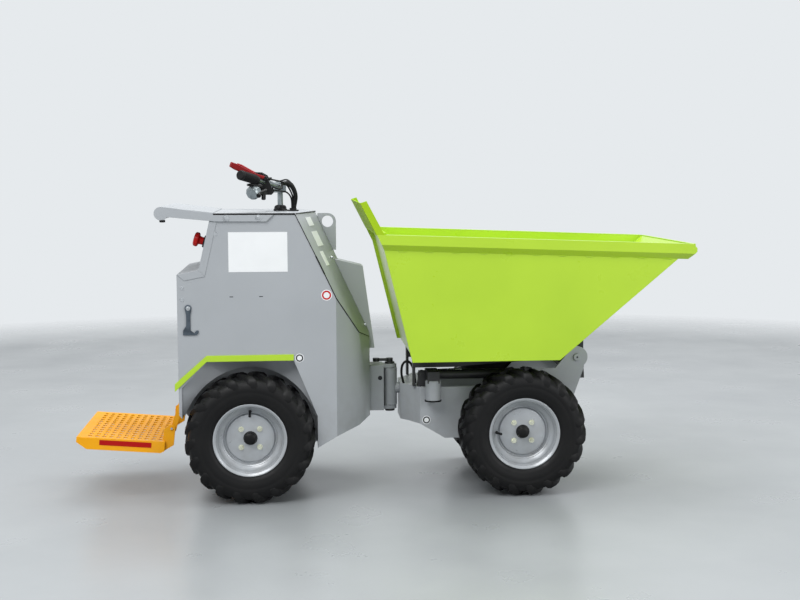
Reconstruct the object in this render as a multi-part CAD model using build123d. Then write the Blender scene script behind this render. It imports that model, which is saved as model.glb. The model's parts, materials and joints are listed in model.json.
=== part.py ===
from build123d import *
import os
from math import cos, hypot, radians, sin, tan

# ---------------------------------------------------------------------------
# Battery-electric articulated site dumper with a stand-on step.
# Millimetres.  X runs forward, Y to the left, Z up from the ground.  While the
# pieces are made, X is measured from the articulation pin; they are written
# with the origin on the ground under the middle of the machine.
# ---------------------------------------------------------------------------

# Running gear
wheelbase = 1063.0
pin_to_front_axle = 502.0
tyre_diameter = 500.0
tyre_width = 186.0
tyre_side_thickness = 12.0
tyre_shoulder_drop = 34.0
tyre_shoulder_step = 6.0
tyre_shoulder_width = 18.0
tyre_bead_height = 50.0
track_outside = 800.0
rim_flange_diameter = 280.0
rim_barrel_diameter = 254.0
rim_sheet = 5.0
rim_inset = 12.0
rim_flange_step = 5.0
rim_seat_inset = 20.0
rim_well_depth = 15.0
rim_well_inset = 46.0
rim_well_slope = 10.0
disc_sheet = 6.0
disc_offset = 22.0
disc_dish = 10.0
disc_foot_offset = 26.0
bead_gap = 0.2
wheel_bolt_circle = 100.0
wheel_bolt_hole = 14.0
wheel_bolt_count = 4
hub_diameter = 124.0
hub_barrel_diameter = 76.0
hub_depth = 62.0
hub_cap_diameter = 48.0
hub_cap_height = 20.0
hub_cap_bevel = 4.0
spindle_diameter = 34.0
housing_overlap = 6.0
housing_size = 100.0
housing_length_x = 120.0
running_gap = 0.05

# Sheet metal and gaps
body_sheet = 4.0
plate = 8.0
lip_width = 28.0
lip_sheet = 2.5

# Rear unit
body_width = 660.0
hull_width = 376.0
body_rear_from_axle = 268.0
top_height = 1115.0
rear_deck_height = 883.0
rear_deck_rise = 16.0
dash_foot_from_axle = 186.0
dash_head_from_axle = 136.0
rear_panel_foot_height = 343.0
hull_bottom_height = 195.0
prow_fold_x = -228.0
prow_fold_2 = (-137.0, 230.0)
prow_tip = (-87.0, 90.0)
prow_bottom_height = 297.0
hull_front_step = 50.0
hull_front_run = 90.0
hull_rear_run = 120.0
outline_overrun = 40.0
plan_overrun = 10.0
cover_fold_height = 787.0
cover_slope = 0.465
cover_splay = 0.24
arch_top_height = 548.0
arch_tail_height = 447.0
arch_rear_from_axle = 256.0
arch_rear_top_from_axle = 161.0
arch_front_top_from_axle = 169.0
arch_front_from_axle = 258.0
arch_front_height = 329.0

# Battery
battery_length = 300.0
battery_width = 340.0
battery_height = 300.0

# Arch trim
trim_height = 24.0
trim_thickness = 5.0
trim_tail_reach = 26.0
trim_tail_rise = 18.0
trim_tail_drop = 12.0

# Stop button and latch lever on the right-hand side
stop_y = -230.0
stop_height = 1002.0
stop_stem_diameter = 28.0
stop_stem_length = 16.0
stop_head_diameter = 56.0
stop_head_height = 20.0
latch_from_rear = 41.0
latch_pivot_height = 755.0
latch_radius = 13.0
latch_waist = 16.0
latch_length = 103.0
latch_hook_reach = 38.0
latch_heel_reach = 20.0
latch_foot_depth = 18.0
latch_thickness = 6.0

# Nose box and lifting eye
nose_width = 120.0
nose_top_rear = (-241.0, 926.0)
nose_top_front = (-111.0, 893.0)
nose_foot_front = (-65.0, 557.0)
nose_foot_rear = (-125.0, 557.0)
ear_thickness = 12.0
ear_hole = 46.0
ear_front = -216.0
ear_back = -290.0
ear_top = 1106.0
ear_radius = 34.0
ear_foot_above_nose = 30.0

# Grab rail
rail_strip_height = 30.0
rail_strip_thickness = 8.0
rail_tube = 34.0
rail_bend_behind_dash = 30.0
rail_front_from_axle = 98.0
rail_rear_from_axle = -333.0
rail_height = 1115.0

# Steering column
column_x_from_axle = 122.0
post_diameter = 22.0
post_depth = 60.0
post_gap = 2.0
collar_diameter = 54.0
collar_height = 22.0
clamp_size = (48.0, 64.0, 42.0)
clamp_drop = 1.0
bar_height = 1211.0
bar_diameter = 22.0
bar_bend_y = 70.0
bar_end = (-142.0, 312.0, 47.0)
bar_bend_share = 0.25
grip_diameter = 33.0
grip_length = 112.0
grip_overhang = 6.0
grip_end = 4.0
switch_size = (60.0, 42.0, 84.0)
switch_drop = 5.0
switch_share = 0.37
lever_foot_diameter = 14.0
lever_rise = 46.0
lever_end = (-42.0, -10.0, 42.0)
lever_thickness = 11.0
lever_neck_height = 9.0
lever_paddle_height = 24.0
lever_neck_share = 0.4
horn_diameter = 54.0
horn_length = 44.0
horn_tilt = 30.0
horn_drop = 50.0
horn_share = 0.66
cable_diameter = 14.0
cable_gap = 0.3
cable_bend_share = 0.45
gland_flange = (46.0, 5.0)
gland_barrel = (28.0, 7.0)

# Articulation
bracket_width = 112.0
bracket_top = 484.0
bracket_bottom = 298.0
lug_thickness = 15.0
lug_radius = 28.0
cheek_plate = 12.0
cheek_reach = 28.0
pin_diameter = 26.0
pin_head_diameter = 40.0
pin_head_height = 8.0
pin_foot_height = 10.0
knuckle_diameter = 60.0
oscillation_height = 383.0
spigot_diameter = 44.0
bearing_diameter = 84.0
bearing_length = 82.0
spigot_nut_diameter = 68.0
spigot_nut_height = 16.0
spigot_nut_gap = 2.0
lug_gap = 1.5
arm_length = 56.0
arm_rod = 12.0
arm_eye_diameter = 27.0
arm_eye_height = 14.0
arm_gap = 1.0

# Front frame
frame_width = 400.0
frame_rear = 38.0
frame_facet = (69.0, 118.0)
frame_shoulder = 108.0
frame_top = 413.0
frame_front_top = 480.0
frame_bottom = 205.0
hinge_from_axle = 245.0
hinge_height = 524.0
hinge_pin_diameter = 30.0
hinge_pin_overhang = 8.0
head_radius = 44.0
frame_ramp = (240.0, 180.0)
frame_neck = 90.0
head_top = (30.0, 24.0, 26.0)
head_front = (30.0, 40.0)
head_foot = (10.0, 150.0)
frame_floor_front = 130.0
frame_floor_rear = 100.0
frame_corner = 60.0
facet_inner_y = 70.0
deck_depth = 40.0
cross_member = (200.0, 160.0, 40.0)
belly_half = 90.0
belly_depth = (37.0, 55.0)
belly_x = (-260.0, -222.0, -184.0, 76.0, 116.0)
axle_bore_gap = 4.0
rest_inset = 4.0
rest_gap = 0.3
rest_from_floor = 20.0

# Skip
tub_width = 800.0
tub_sheet = 5.0
tub_floor_height = 540.0
tub_floor_rear_from_axle = -441.0
tub_floor_front_from_axle = 136.0
tub_rear_lean = 13.8
tub_rear_inset = 14.0
tub_wall_top = 1030.0
tub_front_drop = 43.0
tub_lip_from_axle = 670.0
rim_face = 34.0
rim_chamfer = 23.0
rim_out = 24.0
rim_sheet_thickness = 4.0
rim_rear_reach = 15.0
rim_nose = ((15.0, 12.0), (22.0, 26.0))
rim_overrun = 60.0
lip_out = 4.0
lip_fold = 40.0
guard_height = 127.0
guard_lean = 27.0
guard_offset = 17.0
guard_flange_foot = 31.0
guard_flange_top = 28.0
guard_top_fall = 8.0
rail_depth_rear = 50.0
rail_depth_front = 22.0
tub_rail_y = 160.0
tub_rail_width = 44.0
tub_rail_wall = 8.0
tub_rail_flat = 180.0
tub_rail_neck = 90.0
tub_lug = (22.0, 14.0, 18.0)
tub_lug_ahead = (30.0, 10.0)
fork_reach = (90.0, 60.0, 60.0)
fork_gap = 10.0
tie_size = (30.0, 20.0)
tie_rear = 100.0
tie_front = 60.0
tub_rest_plate = 10.0

# Step
step_length = 333.0
step_width = 565.0
step_top = 231.0
step_tilt = 4.8
step_gap = 21.0
step_flange = 45.0
step_hinge_from_axle = -303.0
step_hinge_height = 282.0
step_rear_chamfer = (40.0, 25.0)
step_front_chamfer = (14.0, 8.0)
step_margin_rear = 46.0
step_margin_front = 20.0
step_margin_side = 28.0
step_slots_x = 11
step_slots_y = 12
step_slot_length = 26.0
step_slot_width = 15.0
step_ear_inset = 20.0
step_ear_plate = 8.0
step_ear_height = 46.0
step_ear_nose = (12.0, 31.0)
step_boss_wall = 6.0
step_bar_diameter = 16.0
step_bar_overhang = 26.0
step_cheek_inset = 40.0
step_cheek_plate = 10.0
step_cheek_height = 60.0

# Tipping actuator, opened at the rod's eye
act_base_from_shoulder = 10.0
act_base_height = 460.0
act_lever = (20.0, -70.0)
act_tube = 40.0
act_rod = 16.0
act_eye_width = 18.0
act_eye_diameter = 34.0
act_pin_diameter = 14.0
act_tube_share = 0.62
act_tube_start = 50.0
act_hollow_start = 58.0
act_rod_overlap = 160.0
act_rod_eye_gap = 12.0
act_neck = (20.0, 15.0)
gearbox_x = (14.0, 62.0)
gearbox_y = (24.0, 20.0)
gearbox_z = (24.0, 22.0)
motor_diameter = 60.0
motor_y = -238.0
motor_bottom = 363.0
motor_x = 38.0
motor_overlap = 20.0
mount_ear_plate = 8.0
mount_ear_gap = 1.0
mount_ear_x = (8.0, 12.0, 13.0)
mount_ear_rise = 14.0
mount_pin_overhang = 13.0

# ---------------------------------------------------------------------------
# Worked-out positions
# ---------------------------------------------------------------------------
front_axle_x = pin_to_front_axle
rear_axle_x = pin_to_front_axle - wheelbase
axle_height = tyre_diameter / 2
wheel_y = (track_outside - tyre_width) / 2
body_half = body_width / 2
prow_fold_1 = (prow_fold_x, body_half)
hull_half = hull_width / 2
body_rear = rear_axle_x - body_rear_from_axle
dash_foot_x = rear_axle_x - dash_foot_from_axle
dash_head_x = rear_axle_x - dash_head_from_axle
column_x = rear_axle_x + column_x_from_axle
hinge_x = front_axle_x + hinge_from_axle
act_base = (frame_shoulder + act_base_from_shoulder, act_base_height)
act_eye = (hinge_x + act_lever[0], hinge_height + act_lever[1])
act_y = -tub_rail_y
step_hinge_x = rear_axle_x + step_hinge_from_axle
step_rear = step_hinge_x - step_gap - step_length
step_boss = step_bar_diameter / 2 + step_boss_wall
tub_floor_rear = front_axle_x + tub_floor_rear_from_axle
tub_floor_front = front_axle_x + tub_floor_front_from_axle
tub_lip = front_axle_x + tub_lip_from_axle
tub_half = tub_width / 2
tub_rear_top_x = tub_floor_rear - (tub_wall_top - tub_floor_height) * tan(radians(tub_rear_lean))
machine_front = tub_lip + lip_out
step_tail = (step_rear - step_hinge_x, step_top - step_flange + step_rear_chamfer[1] - step_hinge_height)
machine_rear = step_hinge_x + step_tail[0] * cos(radians(step_tilt)) + step_tail[1] * sin(radians(step_tilt))
origin_shift = -(machine_front + machine_rear) / 2
big = 3000.0


def block(x0, x1, y0, y1, z0, z1):
    """A box between three pairs of coordinates."""
    centre = ((x0 + x1) / 2, (y0 + y1) / 2, (z0 + z1) / 2)
    return Pos(*centre) * Box(x1 - x0, y1 - y0, z1 - z0)


def side_plate(points, y0, y1):
    """An X-Z outline given thickness between two Y values."""
    face = make_face(Polyline(*points, close=True))
    return extrude(Plane.XZ.offset(-y1) * face, y1 - y0)


def plan_plate(points, z0, z1):
    """An X-Y outline given thickness between two heights."""
    face = make_face(Polyline(*points, close=True))
    return extrude(Plane.XY.offset(z0) * face, z1 - z0)


def rod(start, end, radius):
    """A round bar between two points."""
    line = Edge.make_line(start, end)
    return extrude(Plane(start, z_dir=line % 0) * Circle(radius), line.length)


def rod_y(x, z, y0, y1, radius):
    """A round bar along Y."""
    return rod((x, y0, z), (x, y1, z), radius)


def ring(start, end, outer, inner):
    """A round tube between two points."""
    return rod(start, end, outer) - rod(start, end, inner)


def bent_rod(points, radius, share):
    """A round bar along straight runs; each bend takes a share of the shorter run beside it."""
    radii = []
    for before, corner, after in zip(points, points[1:], points[2:]):
        first, second = Vector(*corner) - Vector(*before), Vector(*after) - Vector(*corner)
        turn = radians(first.get_angle(second))
        radii.append(share * min(first.length, second.length) / tan(turn / 2))
    path = FilletPolyline(*points, radius=radii)
    return sweep(Plane(path @ 0, z_dir=path % 0) * Circle(radius), path=path)


def both_sides(piece):
    """A piece and its mirror image across the middle plane."""
    return piece + mirror(piece, about=Plane.XZ)


def inset_outline(points, distance):
    """An outline moved inwards by a distance, for points listed clockwise or not."""
    count = len(points)
    area = sum(points[i][0] * points[(i + 1) % count][1] - points[(i + 1) % count][0] * points[i][1]
               for i in range(count))
    turn = 1.0 if area > 0 else -1.0
    lines = []
    for i in range(count):
        (x0, z0), (x1, z1) = points[i], points[(i + 1) % count]
        length = hypot(x1 - x0, z1 - z0)
        nx = -(z1 - z0) / length * turn
        nz = (x1 - x0) / length * turn
        lines.append((x0 + nx * distance, z0 + nz * distance, x1 - x0, z1 - z0))
    moved = []
    for i in range(count):
        ax, az, adx, adz = lines[i - 1]
        bx, bz, bdx, bdz = lines[i]
        t = ((bx - ax) * bdz - (bz - az) * bdx) / (adx * bdz - adz * bdx)
        moved.append((ax + adx * t, az + adz * t))
    return moved


# ---------------------------------------------------------------------------
# Rear unit
# ---------------------------------------------------------------------------
# The side outline, clockwise from the foot of the rear panel.
side_outline = [
    (body_rear, rear_panel_foot_height),
    (body_rear, rear_deck_height),
    (dash_foot_x, rear_deck_height + rear_deck_rise),
    (dash_head_x, top_height),
    (prow_tip[0] + outline_overrun, top_height),
    (prow_tip[0] + outline_overrun, prow_bottom_height),
    (prow_fold_x, prow_bottom_height - hull_front_step),
    (prow_fold_x - hull_front_run, hull_bottom_height),
    (body_rear + hull_rear_run, hull_bottom_height),
]
# The plan outline, from the rear left corner round to the rear right one.
plan_outline = [
    (body_rear - plan_overrun, body_half),
    (prow_fold_1[0], body_half),
    (prow_fold_2[0], prow_fold_2[1]),
    prow_tip,
    (prow_tip[0], -prow_tip[1]),
    (prow_fold_2[0], -prow_fold_2[1]),
    (prow_fold_1[0], -body_half),
    (body_rear - plan_overrun, -body_half),
]
# One wheel arch, open downwards and outwards.
arch_outline = [
    (rear_axle_x - arch_rear_from_axle, 0.0),
    (rear_axle_x - arch_rear_from_axle, arch_tail_height),
    (rear_axle_x - arch_rear_top_from_axle, arch_top_height),
    (rear_axle_x + arch_front_top_from_axle, arch_top_height),
    (rear_axle_x + arch_front_from_axle, arch_front_height),
    (rear_axle_x + arch_front_from_axle, 0.0),
]


def cover_half_space(side, depth):
    """All that lies ahead of one facet of the front cover, moved back by a depth."""
    normal = Vector(1.0, side * cover_splay, cover_slope).normalized()
    point = Vector(prow_fold_1[0], side * body_half, cover_fold_height) - normal * depth
    return Plane(point, z_dir=normal) * (Pos(0, 0, big / 2) * Box(big, big, big))


def uncut_body(depth):
    """The rear unit's outline solid, with square front, its skin moved in by a depth."""
    side = inset_outline(side_outline, depth)
    plan = inset_outline(plan_outline, depth)
    return side_plate(side, -big, big) & plan_plate(plan, -big, big)


def arch_spaces(growth):
    """Both wheel arches, larger all round by a growth."""
    outline = inset_outline(arch_outline, -growth)
    one = side_plate(outline, hull_half - growth, big)
    return both_sides(one)


def body_solid(depth):
    """The rear unit's solid inside its skin at a depth."""
    solid = uncut_body(depth)
    for side in (-1, 1):
        solid = solid - cover_half_space(side, depth)
    return solid - arch_spaces(depth)


def between_covers():
    """The sheet of the front cover: between its outer and inner facets."""
    outer = uncut_body(body_sheet)
    inner = outer
    for side in (-1, 1):
        outer = outer - cover_half_space(side, 0.0)
        inner = inner - cover_half_space(side, body_sheet)
    return outer - inner


def skin_strip(first, half=body_half - body_sheet):
    """The mitred sheet that stands on one edge of the side outline."""
    inner = inset_outline(side_outline, body_sheet)
    second = first + 1
    points = [side_outline[first], side_outline[second], inner[second], inner[first]]
    return side_plate(points, -half, half)


def side_panel(side):
    """One flat side plate, with the wheel arch cut out."""
    y_in, y_out = body_half - body_sheet, body_half
    y0, y1 = (y_in, y_out) if side > 0 else (-y_out, -y_in)
    plate_solid = side_plate(side_outline, y0, y1) & plan_plate(plan_outline, -big, big)
    plate_solid = plate_solid - cover_half_space(side, 0.0) - arch_spaces(0.0)
    return plate_solid - skin_strip(1, body_half) - skin_strip(2, body_half)


def rear_panel():
    """Upright panel above the step."""
    return skin_strip(0)


def folded_strip(index):
    """One skin strip with its two edges folded down over the side panels."""
    inner = inset_outline(side_outline, lip_width)
    points = [side_outline[index], side_outline[index + 1], inner[index + 1], inner[index]]
    lips = both_sides(side_plate(points, body_half, body_half + lip_sheet))
    return skin_strip(index, body_half + lip_sheet) + lips


def rear_deck():
    """Low deck behind the dash, with its edges folded over the sides."""
    return folded_strip(1)


def dash_panel():
    """Sloped panel that faces the driver, with its edges folded over the sides."""
    return folded_strip(2) - grab_rail()


def top_cover():
    """The flat top, cut off at the front cover and bored for the column."""
    sheet = skin_strip(3)
    for side in (-1, 1):
        sheet = sheet - cover_half_space(side, 0.0)
    bore = rod((column_x, 0, top_height - lip_width), (column_x, 0, top_height + lip_width),
               post_diameter / 2 + post_gap)
    return sheet - bore


def front_cover():
    """Two sloped facets that meet at a ridge in the middle."""
    sheet = between_covers()
    return sheet - skin_strip(3)


def body_skin():
    """The skin all round the rear unit, one sheet thick, arches included."""
    return body_solid(0.0) - body_solid(body_sheet)


def wheel_arch(side):
    """Inner wall, roof and slopes of one wheel arch, inside the side panel."""
    y0, y1 = (0.0, body_half - body_sheet) if side > 0 else (body_sheet - body_half, 0.0)
    around = arch_spaces(body_sheet) & block(-big, big, y0, y1, -big, big)
    liner = (body_skin() & around) - rear_panel()
    return liner - axle_housing(rear_axle_x, hull_half + housing_overlap)


def rear_chassis():
    """The hull bottom and the folded prow ahead of the wheels."""
    skin = body_skin() - arch_spaces(body_sheet)
    strips = [skin_strip(1, body_half), skin_strip(2, body_half), skin_strip(3)]
    for piece in [rear_panel(), front_cover()] + strips:
        skin = skin - piece
    for side in (-1, 1):
        skin = skin - side_panel(side)
    return skin - axle_housing(rear_axle_x, hull_half + housing_overlap)


def arch_trim(side):
    """Lime strip that follows the top of the wheel arch."""
    tail = rear_axle_x - arch_rear_from_axle - trim_tail_reach
    bend, front = rear_axle_x - arch_rear_top_from_axle, rear_axle_x + arch_front_top_from_axle
    outline = [
        (tail, arch_tail_height + trim_tail_rise),
        (bend, arch_top_height + trim_height),
        (front, arch_top_height + trim_height),
        (front, arch_top_height),
        (bend, arch_top_height),
        (tail, arch_tail_height - trim_tail_drop),
    ]
    y0, y1 = (body_half, body_half + trim_thickness)
    if side < 0:
        y0, y1 = -y1, -y0
    return side_plate(outline, y0, y1)


def nose_box():
    """Narrow box down the middle of the front cover."""
    outline = [nose_top_rear, nose_top_front, nose_foot_front, nose_foot_rear]
    solid = side_plate(outline, -nose_width / 2, nose_width / 2)
    return solid - (uncut_body(0.0) - cover_half_space(1, 0.0) - cover_half_space(-1, 0.0))


def lifting_eye():
    """One plate on the ridge with a round hole and a round corner about it."""
    foot = nose_top_rear[1] + ear_foot_above_nose
    hole_x, hole_z = ear_front - ear_radius, ear_top - ear_radius
    outline = [
        (ear_back, ear_top),
        (hole_x, ear_top),
        (hole_x, hole_z),
        (ear_front, hole_z),
        (ear_front, foot),
        (ear_back, foot),
    ]
    half = ear_thickness / 2
    solid = side_plate(outline, -half, half) + rod_y(hole_x, hole_z, -half, half, ear_radius)
    hole = rod_y(hole_x, hole_z, -ear_thickness, ear_thickness, ear_hole / 2)
    body = uncut_body(0.0) - cover_half_space(1, 0.0) - cover_half_space(-1, 0.0)
    return solid - hole - body


def grab_rail():
    """Strip bolted to each side, rising to the rear, and the cross tube between them."""
    front = rear_axle_x + rail_front_from_axle
    rear = rear_axle_x + rail_rear_from_axle
    bend = dash_head_x - rail_bend_behind_dash
    half = rail_strip_height / 2
    middle = rail_height - half
    y0, y1 = body_half, body_half + rail_strip_thickness
    strip = side_plate([
        (bend, rail_height - rail_strip_height),
        (bend, rail_height),
        (front - half, rail_height),
        (front - half, rail_height - rail_strip_height),
    ], y0, y1)
    strip = strip + rod_y(front - half, middle, y0, y1, half)
    arm = side_plate([
        (bend, rail_height - rail_strip_height),
        (bend, rail_height),
        (rear, rail_height + rail_tube / 2),
        (rear, rail_height - rail_tube / 2),
    ], y0, y1)
    cross = rod_y(rear, rail_height, -y1, y1, rail_tube / 2)
    return both_sides(strip + arm) + cross


def stop_button():
    """Mushroom button on a round base, square to the dash."""
    run, rise = dash_head_x - dash_foot_x, top_height - rear_deck_height - rear_deck_rise
    foot_x = dash_foot_x + (stop_height - rear_deck_height - rear_deck_rise) * run / rise
    normal = Vector(-rise, 0, run).normalized()
    foot = Vector(foot_x, stop_y, stop_height)
    neck = foot + normal * stop_stem_length
    stem = rod(foot, neck, stop_stem_diameter / 2)
    return stem + rod(neck, neck + normal * stop_head_height, stop_head_diameter / 2)


def latch_lever():
    """Flat lever on the right side panel: round head, narrow waist and a hooked foot."""
    x, z = body_rear + latch_from_rear, latch_pivot_height
    waist, low = latch_waist / 2, latch_pivot_height - latch_length
    outline = [
        (x - latch_radius, z),
        (x - waist, z - 2 * latch_radius),
        (x - waist, low + 2 * latch_foot_depth),
        (x - latch_heel_reach, low + latch_foot_depth),
        (x - latch_heel_reach, low),
        (x + latch_hook_reach - waist, low),
        (x + latch_hook_reach, low + waist),
        (x + latch_hook_reach, low + latch_foot_depth),
        (x + latch_hook_reach - waist, low + latch_foot_depth),
        (x + latch_hook_reach - 2 * waist, low + waist),
        (x + waist, low + latch_foot_depth),
        (x + waist, z - 2 * latch_radius),
        (x + latch_radius, z),
    ]
    y0, y1 = -body_half - latch_thickness, -body_half
    return side_plate(outline, y0, y1) + rod_y(x, z, y0, y1, latch_radius)


def battery_pack():
    """The battery, one plain block on the drive housing."""
    low = axle_height + housing_size / 2
    half_x, half_y = battery_length / 2, battery_width / 2
    return block(rear_axle_x - half_x, rear_axle_x + half_x, -half_y, half_y, low, low + battery_height)


def column_collar():
    """Collar that guides the steering post on the top cover."""
    return ring((column_x, 0, top_height), (column_x, 0, top_height + collar_height),
                collar_diameter / 2, post_diameter / 2 + running_gap)


def axle_housing(x, half_length):
    """The square drive housing across the machine."""
    low, high = axle_height - housing_size / 2, axle_height + housing_size / 2
    half_x = housing_length_x / 2
    return block(x - half_x, x + half_x, -half_length, half_length, low, high)


def axle(x, half_housing):
    """Drive housing with a hub spindle at each end."""
    reach = wheel_y + disc_offset
    spindles = rod_y(x, axle_height, -reach, reach, spindle_diameter / 2)
    return axle_housing(x, half_housing) + spindles


def rear_axle():
    """Rear drive: the housing through the hull with a spindle at each end."""
    return axle(rear_axle_x, hull_half + housing_overlap)


def front_axle():
    """Front drive: the housing and the belly of its gearbox below the frame."""
    start, bend, flat, end, rise = [front_axle_x + x for x in belly_x]
    belly = side_plate([
        (start, frame_bottom),
        (bend, frame_bottom - belly_depth[0]),
        (flat, frame_bottom - belly_depth[1]),
        (end, frame_bottom - belly_depth[1]),
        (rise, frame_bottom),
    ], -belly_half, belly_half)
    return axle(front_axle_x, frame_width / 2 - plate) + belly


def rear_bracket():
    """Fork on the prow: two cheek plates and an upper and a lower lug."""
    cheek_y, tip = bracket_width / 2, prow_tip[0]
    low, high = bracket_bottom, bracket_top
    cheeks = both_sides(block(tip, -cheek_reach, cheek_y - cheek_plate, cheek_y, low, high))
    solid = cheeks + block(tip, tip + cheek_plate, -cheek_y, cheek_y, low, high)
    for low in (bracket_bottom, bracket_top - lug_thickness):
        high = low + lug_thickness
        lug = block(tip, 0, -lug_radius, lug_radius, low, high)
        wide = block(tip, -cheek_reach, -cheek_y, cheek_y, low, high)
        solid = solid + lug + wide + rod((0, 0, low), (0, 0, high), lug_radius)
    return solid - rod((0, 0, bracket_bottom - plate), (0, 0, bracket_top + plate), pin_diameter / 2)


def articulation_pin():
    """Vertical pin through both lugs, with a head at each end."""
    shank = rod((0, 0, bracket_bottom), (0, 0, bracket_top), pin_diameter / 2)
    foot = rod((0, 0, bracket_bottom - pin_foot_height), (0, 0, bracket_bottom), pin_head_diameter / 2)
    head = rod((0, 0, bracket_top), (0, 0, bracket_top + pin_head_height), pin_head_diameter / 2)
    return shank + foot + head


def step_bracket():
    """Two hinge cheeks on the rear panel and the hinge bar between them."""
    half = step_width / 2 - step_cheek_inset
    cheeks = None
    for y in (-half, half):
        y0, y1 = y - step_cheek_plate / 2, y + step_cheek_plate / 2
        cheek = side_plate([
            (body_rear, rear_panel_foot_height + step_cheek_height),
            (body_rear, rear_panel_foot_height),
            (step_hinge_x + step_boss, step_hinge_height - step_boss),
            (step_hinge_x, step_hinge_height - step_boss),
            (step_hinge_x - step_boss, step_hinge_height),
            (step_hinge_x, step_hinge_height + step_boss),
        ], y0, y1)
        cheeks = cheek if cheeks is None else cheeks + cheek
    reach = half + step_bar_overhang
    return cheeks + rod_y(step_hinge_x, step_hinge_height, -reach, reach, step_bar_diameter / 2)


def tilted(piece):
    """A piece of the level step, turned about the hinge to how it rests."""
    return piece.rotate(Axis((step_hinge_x, 0, step_hinge_height), (0, 1, 0)), step_tilt)


def step_deck():
    """Folded step: slotted top and a flange on each side with cut corners."""
    front = step_rear + step_length
    half = step_width / 2
    low = step_top - step_flange
    rear_x, rear_z = step_rear_chamfer
    front_x, front_z = step_front_chamfer
    outline = [
        (step_rear, step_top),
        (step_rear, low + rear_z),
        (step_rear + rear_x, low),
        (front - front_x, low),
        (front, low + front_z),
        (front, step_top),
    ]
    outer = side_plate(outline, -half, half)
    inner = block(step_rear + body_sheet, front - body_sheet, -half + body_sheet, half - body_sheet,
                  low - body_sheet, step_top - body_sheet)
    return tilted(outer - inner - step_slots())


def step_slots():
    """Rows of slots through the step's top, long side across the machine."""
    first_x = step_rear + step_margin_rear
    pitch_x = (step_length - step_margin_rear - step_margin_front) / (step_slots_x - 1)
    first_y = -step_width / 2 + step_margin_side + step_slot_length / 2
    pitch_y = -2 * first_y / (step_slots_y - 1)
    places = [(first_x + pitch_x * i, first_y + pitch_y * j)
              for i in range(step_slots_x) for j in range(step_slots_y)]
    slot = SlotOverall(step_slot_length, step_slot_width, rotation=90)
    sketch = Sketch() + [Pos(x, y) * slot for x, y in places]
    return extrude(Plane.XY.offset(step_top - 2 * body_sheet) * sketch, 3 * body_sheet)


def step_ears():
    """The two hinge ears that stand on the step's front edge."""
    front, low = step_rear + step_length, step_top - step_flange
    ear_y = step_width / 2 - step_ear_inset
    ears = None
    for y in (-ear_y, ear_y):
        y0, y1 = y - step_ear_plate / 2, y + step_ear_plate / 2
        ear = side_plate([
            (front, low + step_front_chamfer[1]),
            (step_hinge_x + step_ear_nose[0], low + step_ear_nose[1]),
            (step_hinge_x + step_boss, step_hinge_height),
            (step_hinge_x, step_hinge_height + step_boss),
            (front + step_ear_plate, step_top + step_ear_height + step_boss),
            (front - step_ear_plate, step_top + step_ear_height),
            (front - step_ear_plate, step_top),
            (front, step_top),
        ], y0, y1)
        ear = ear + rod_y(step_hinge_x, step_hinge_height, y0, y1, step_boss)
        bore = step_bar_diameter / 2 + running_gap
        ear = ear - rod_y(step_hinge_x, step_hinge_height, y0 - plate, y1 + plate, bore)
        ears = ear if ears is None else ears + ear
    return tilted(ears)


# ---------------------------------------------------------------------------
# Steering column
# ---------------------------------------------------------------------------
def bar_point(side, share):
    """A point of the bar on one side: 0 at the bend, 1 at the end of the tube."""
    dx, y, rise = bar_end
    reach = bar_bend_y + (y - bar_bend_y) * share
    return Vector(column_x + dx * share, side * reach, bar_height + rise * share)


def steering_post():
    """Round post that turns in the collar, with the bar's clamp on top."""
    length, width, height = clamp_size
    low = bar_height - clamp_drop - height / 2
    post = rod((column_x, 0, top_height - post_depth), (column_x, 0, low + post_gap), post_diameter / 2)
    clamp = block(column_x - length / 2, column_x + length / 2, -width / 2, width / 2, low, low + height)
    return post + clamp - rod_y(column_x, bar_height, -width, width, bar_diameter / 2)


def handlebar():
    """Swept-back tube, one piece from grip to grip."""
    route = [bar_point(-1, 1.0), bar_point(-1, 0.0), bar_point(1, 0.0), bar_point(1, 1.0)]
    return bent_rod([tuple(point) for point in route], bar_diameter / 2, bar_bend_share)


def grips():
    """Two rubber grips on the ends of the bar."""
    pieces = None
    for side in (-1, 1):
        start, end = bar_point(side, 0.0), bar_point(side, 1.0)
        along = (end - start).normalized()
        over = end + along * grip_overhang
        grip = ring(end - along * grip_length, over, grip_diameter / 2, bar_diameter / 2)
        piece = grip + rod(over, over + along * grip_end, grip_diameter / 2)
        pieces = piece if pieces is None else pieces + piece
    return pieces


def control_blocks():
    """Switch blocks clamped on the bar beside the grips."""
    pieces = None
    for side in (-1, 1):
        middle = bar_point(side, switch_share)
        piece = Pos(middle.X, middle.Y, middle.Z - switch_drop) * Box(*switch_size)
        piece = piece - rod(bar_point(side, 0.0), bar_point(side, 1.0), bar_diameter / 2)
        pieces = piece if pieces is None else pieces + piece
    return pieces


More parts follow.
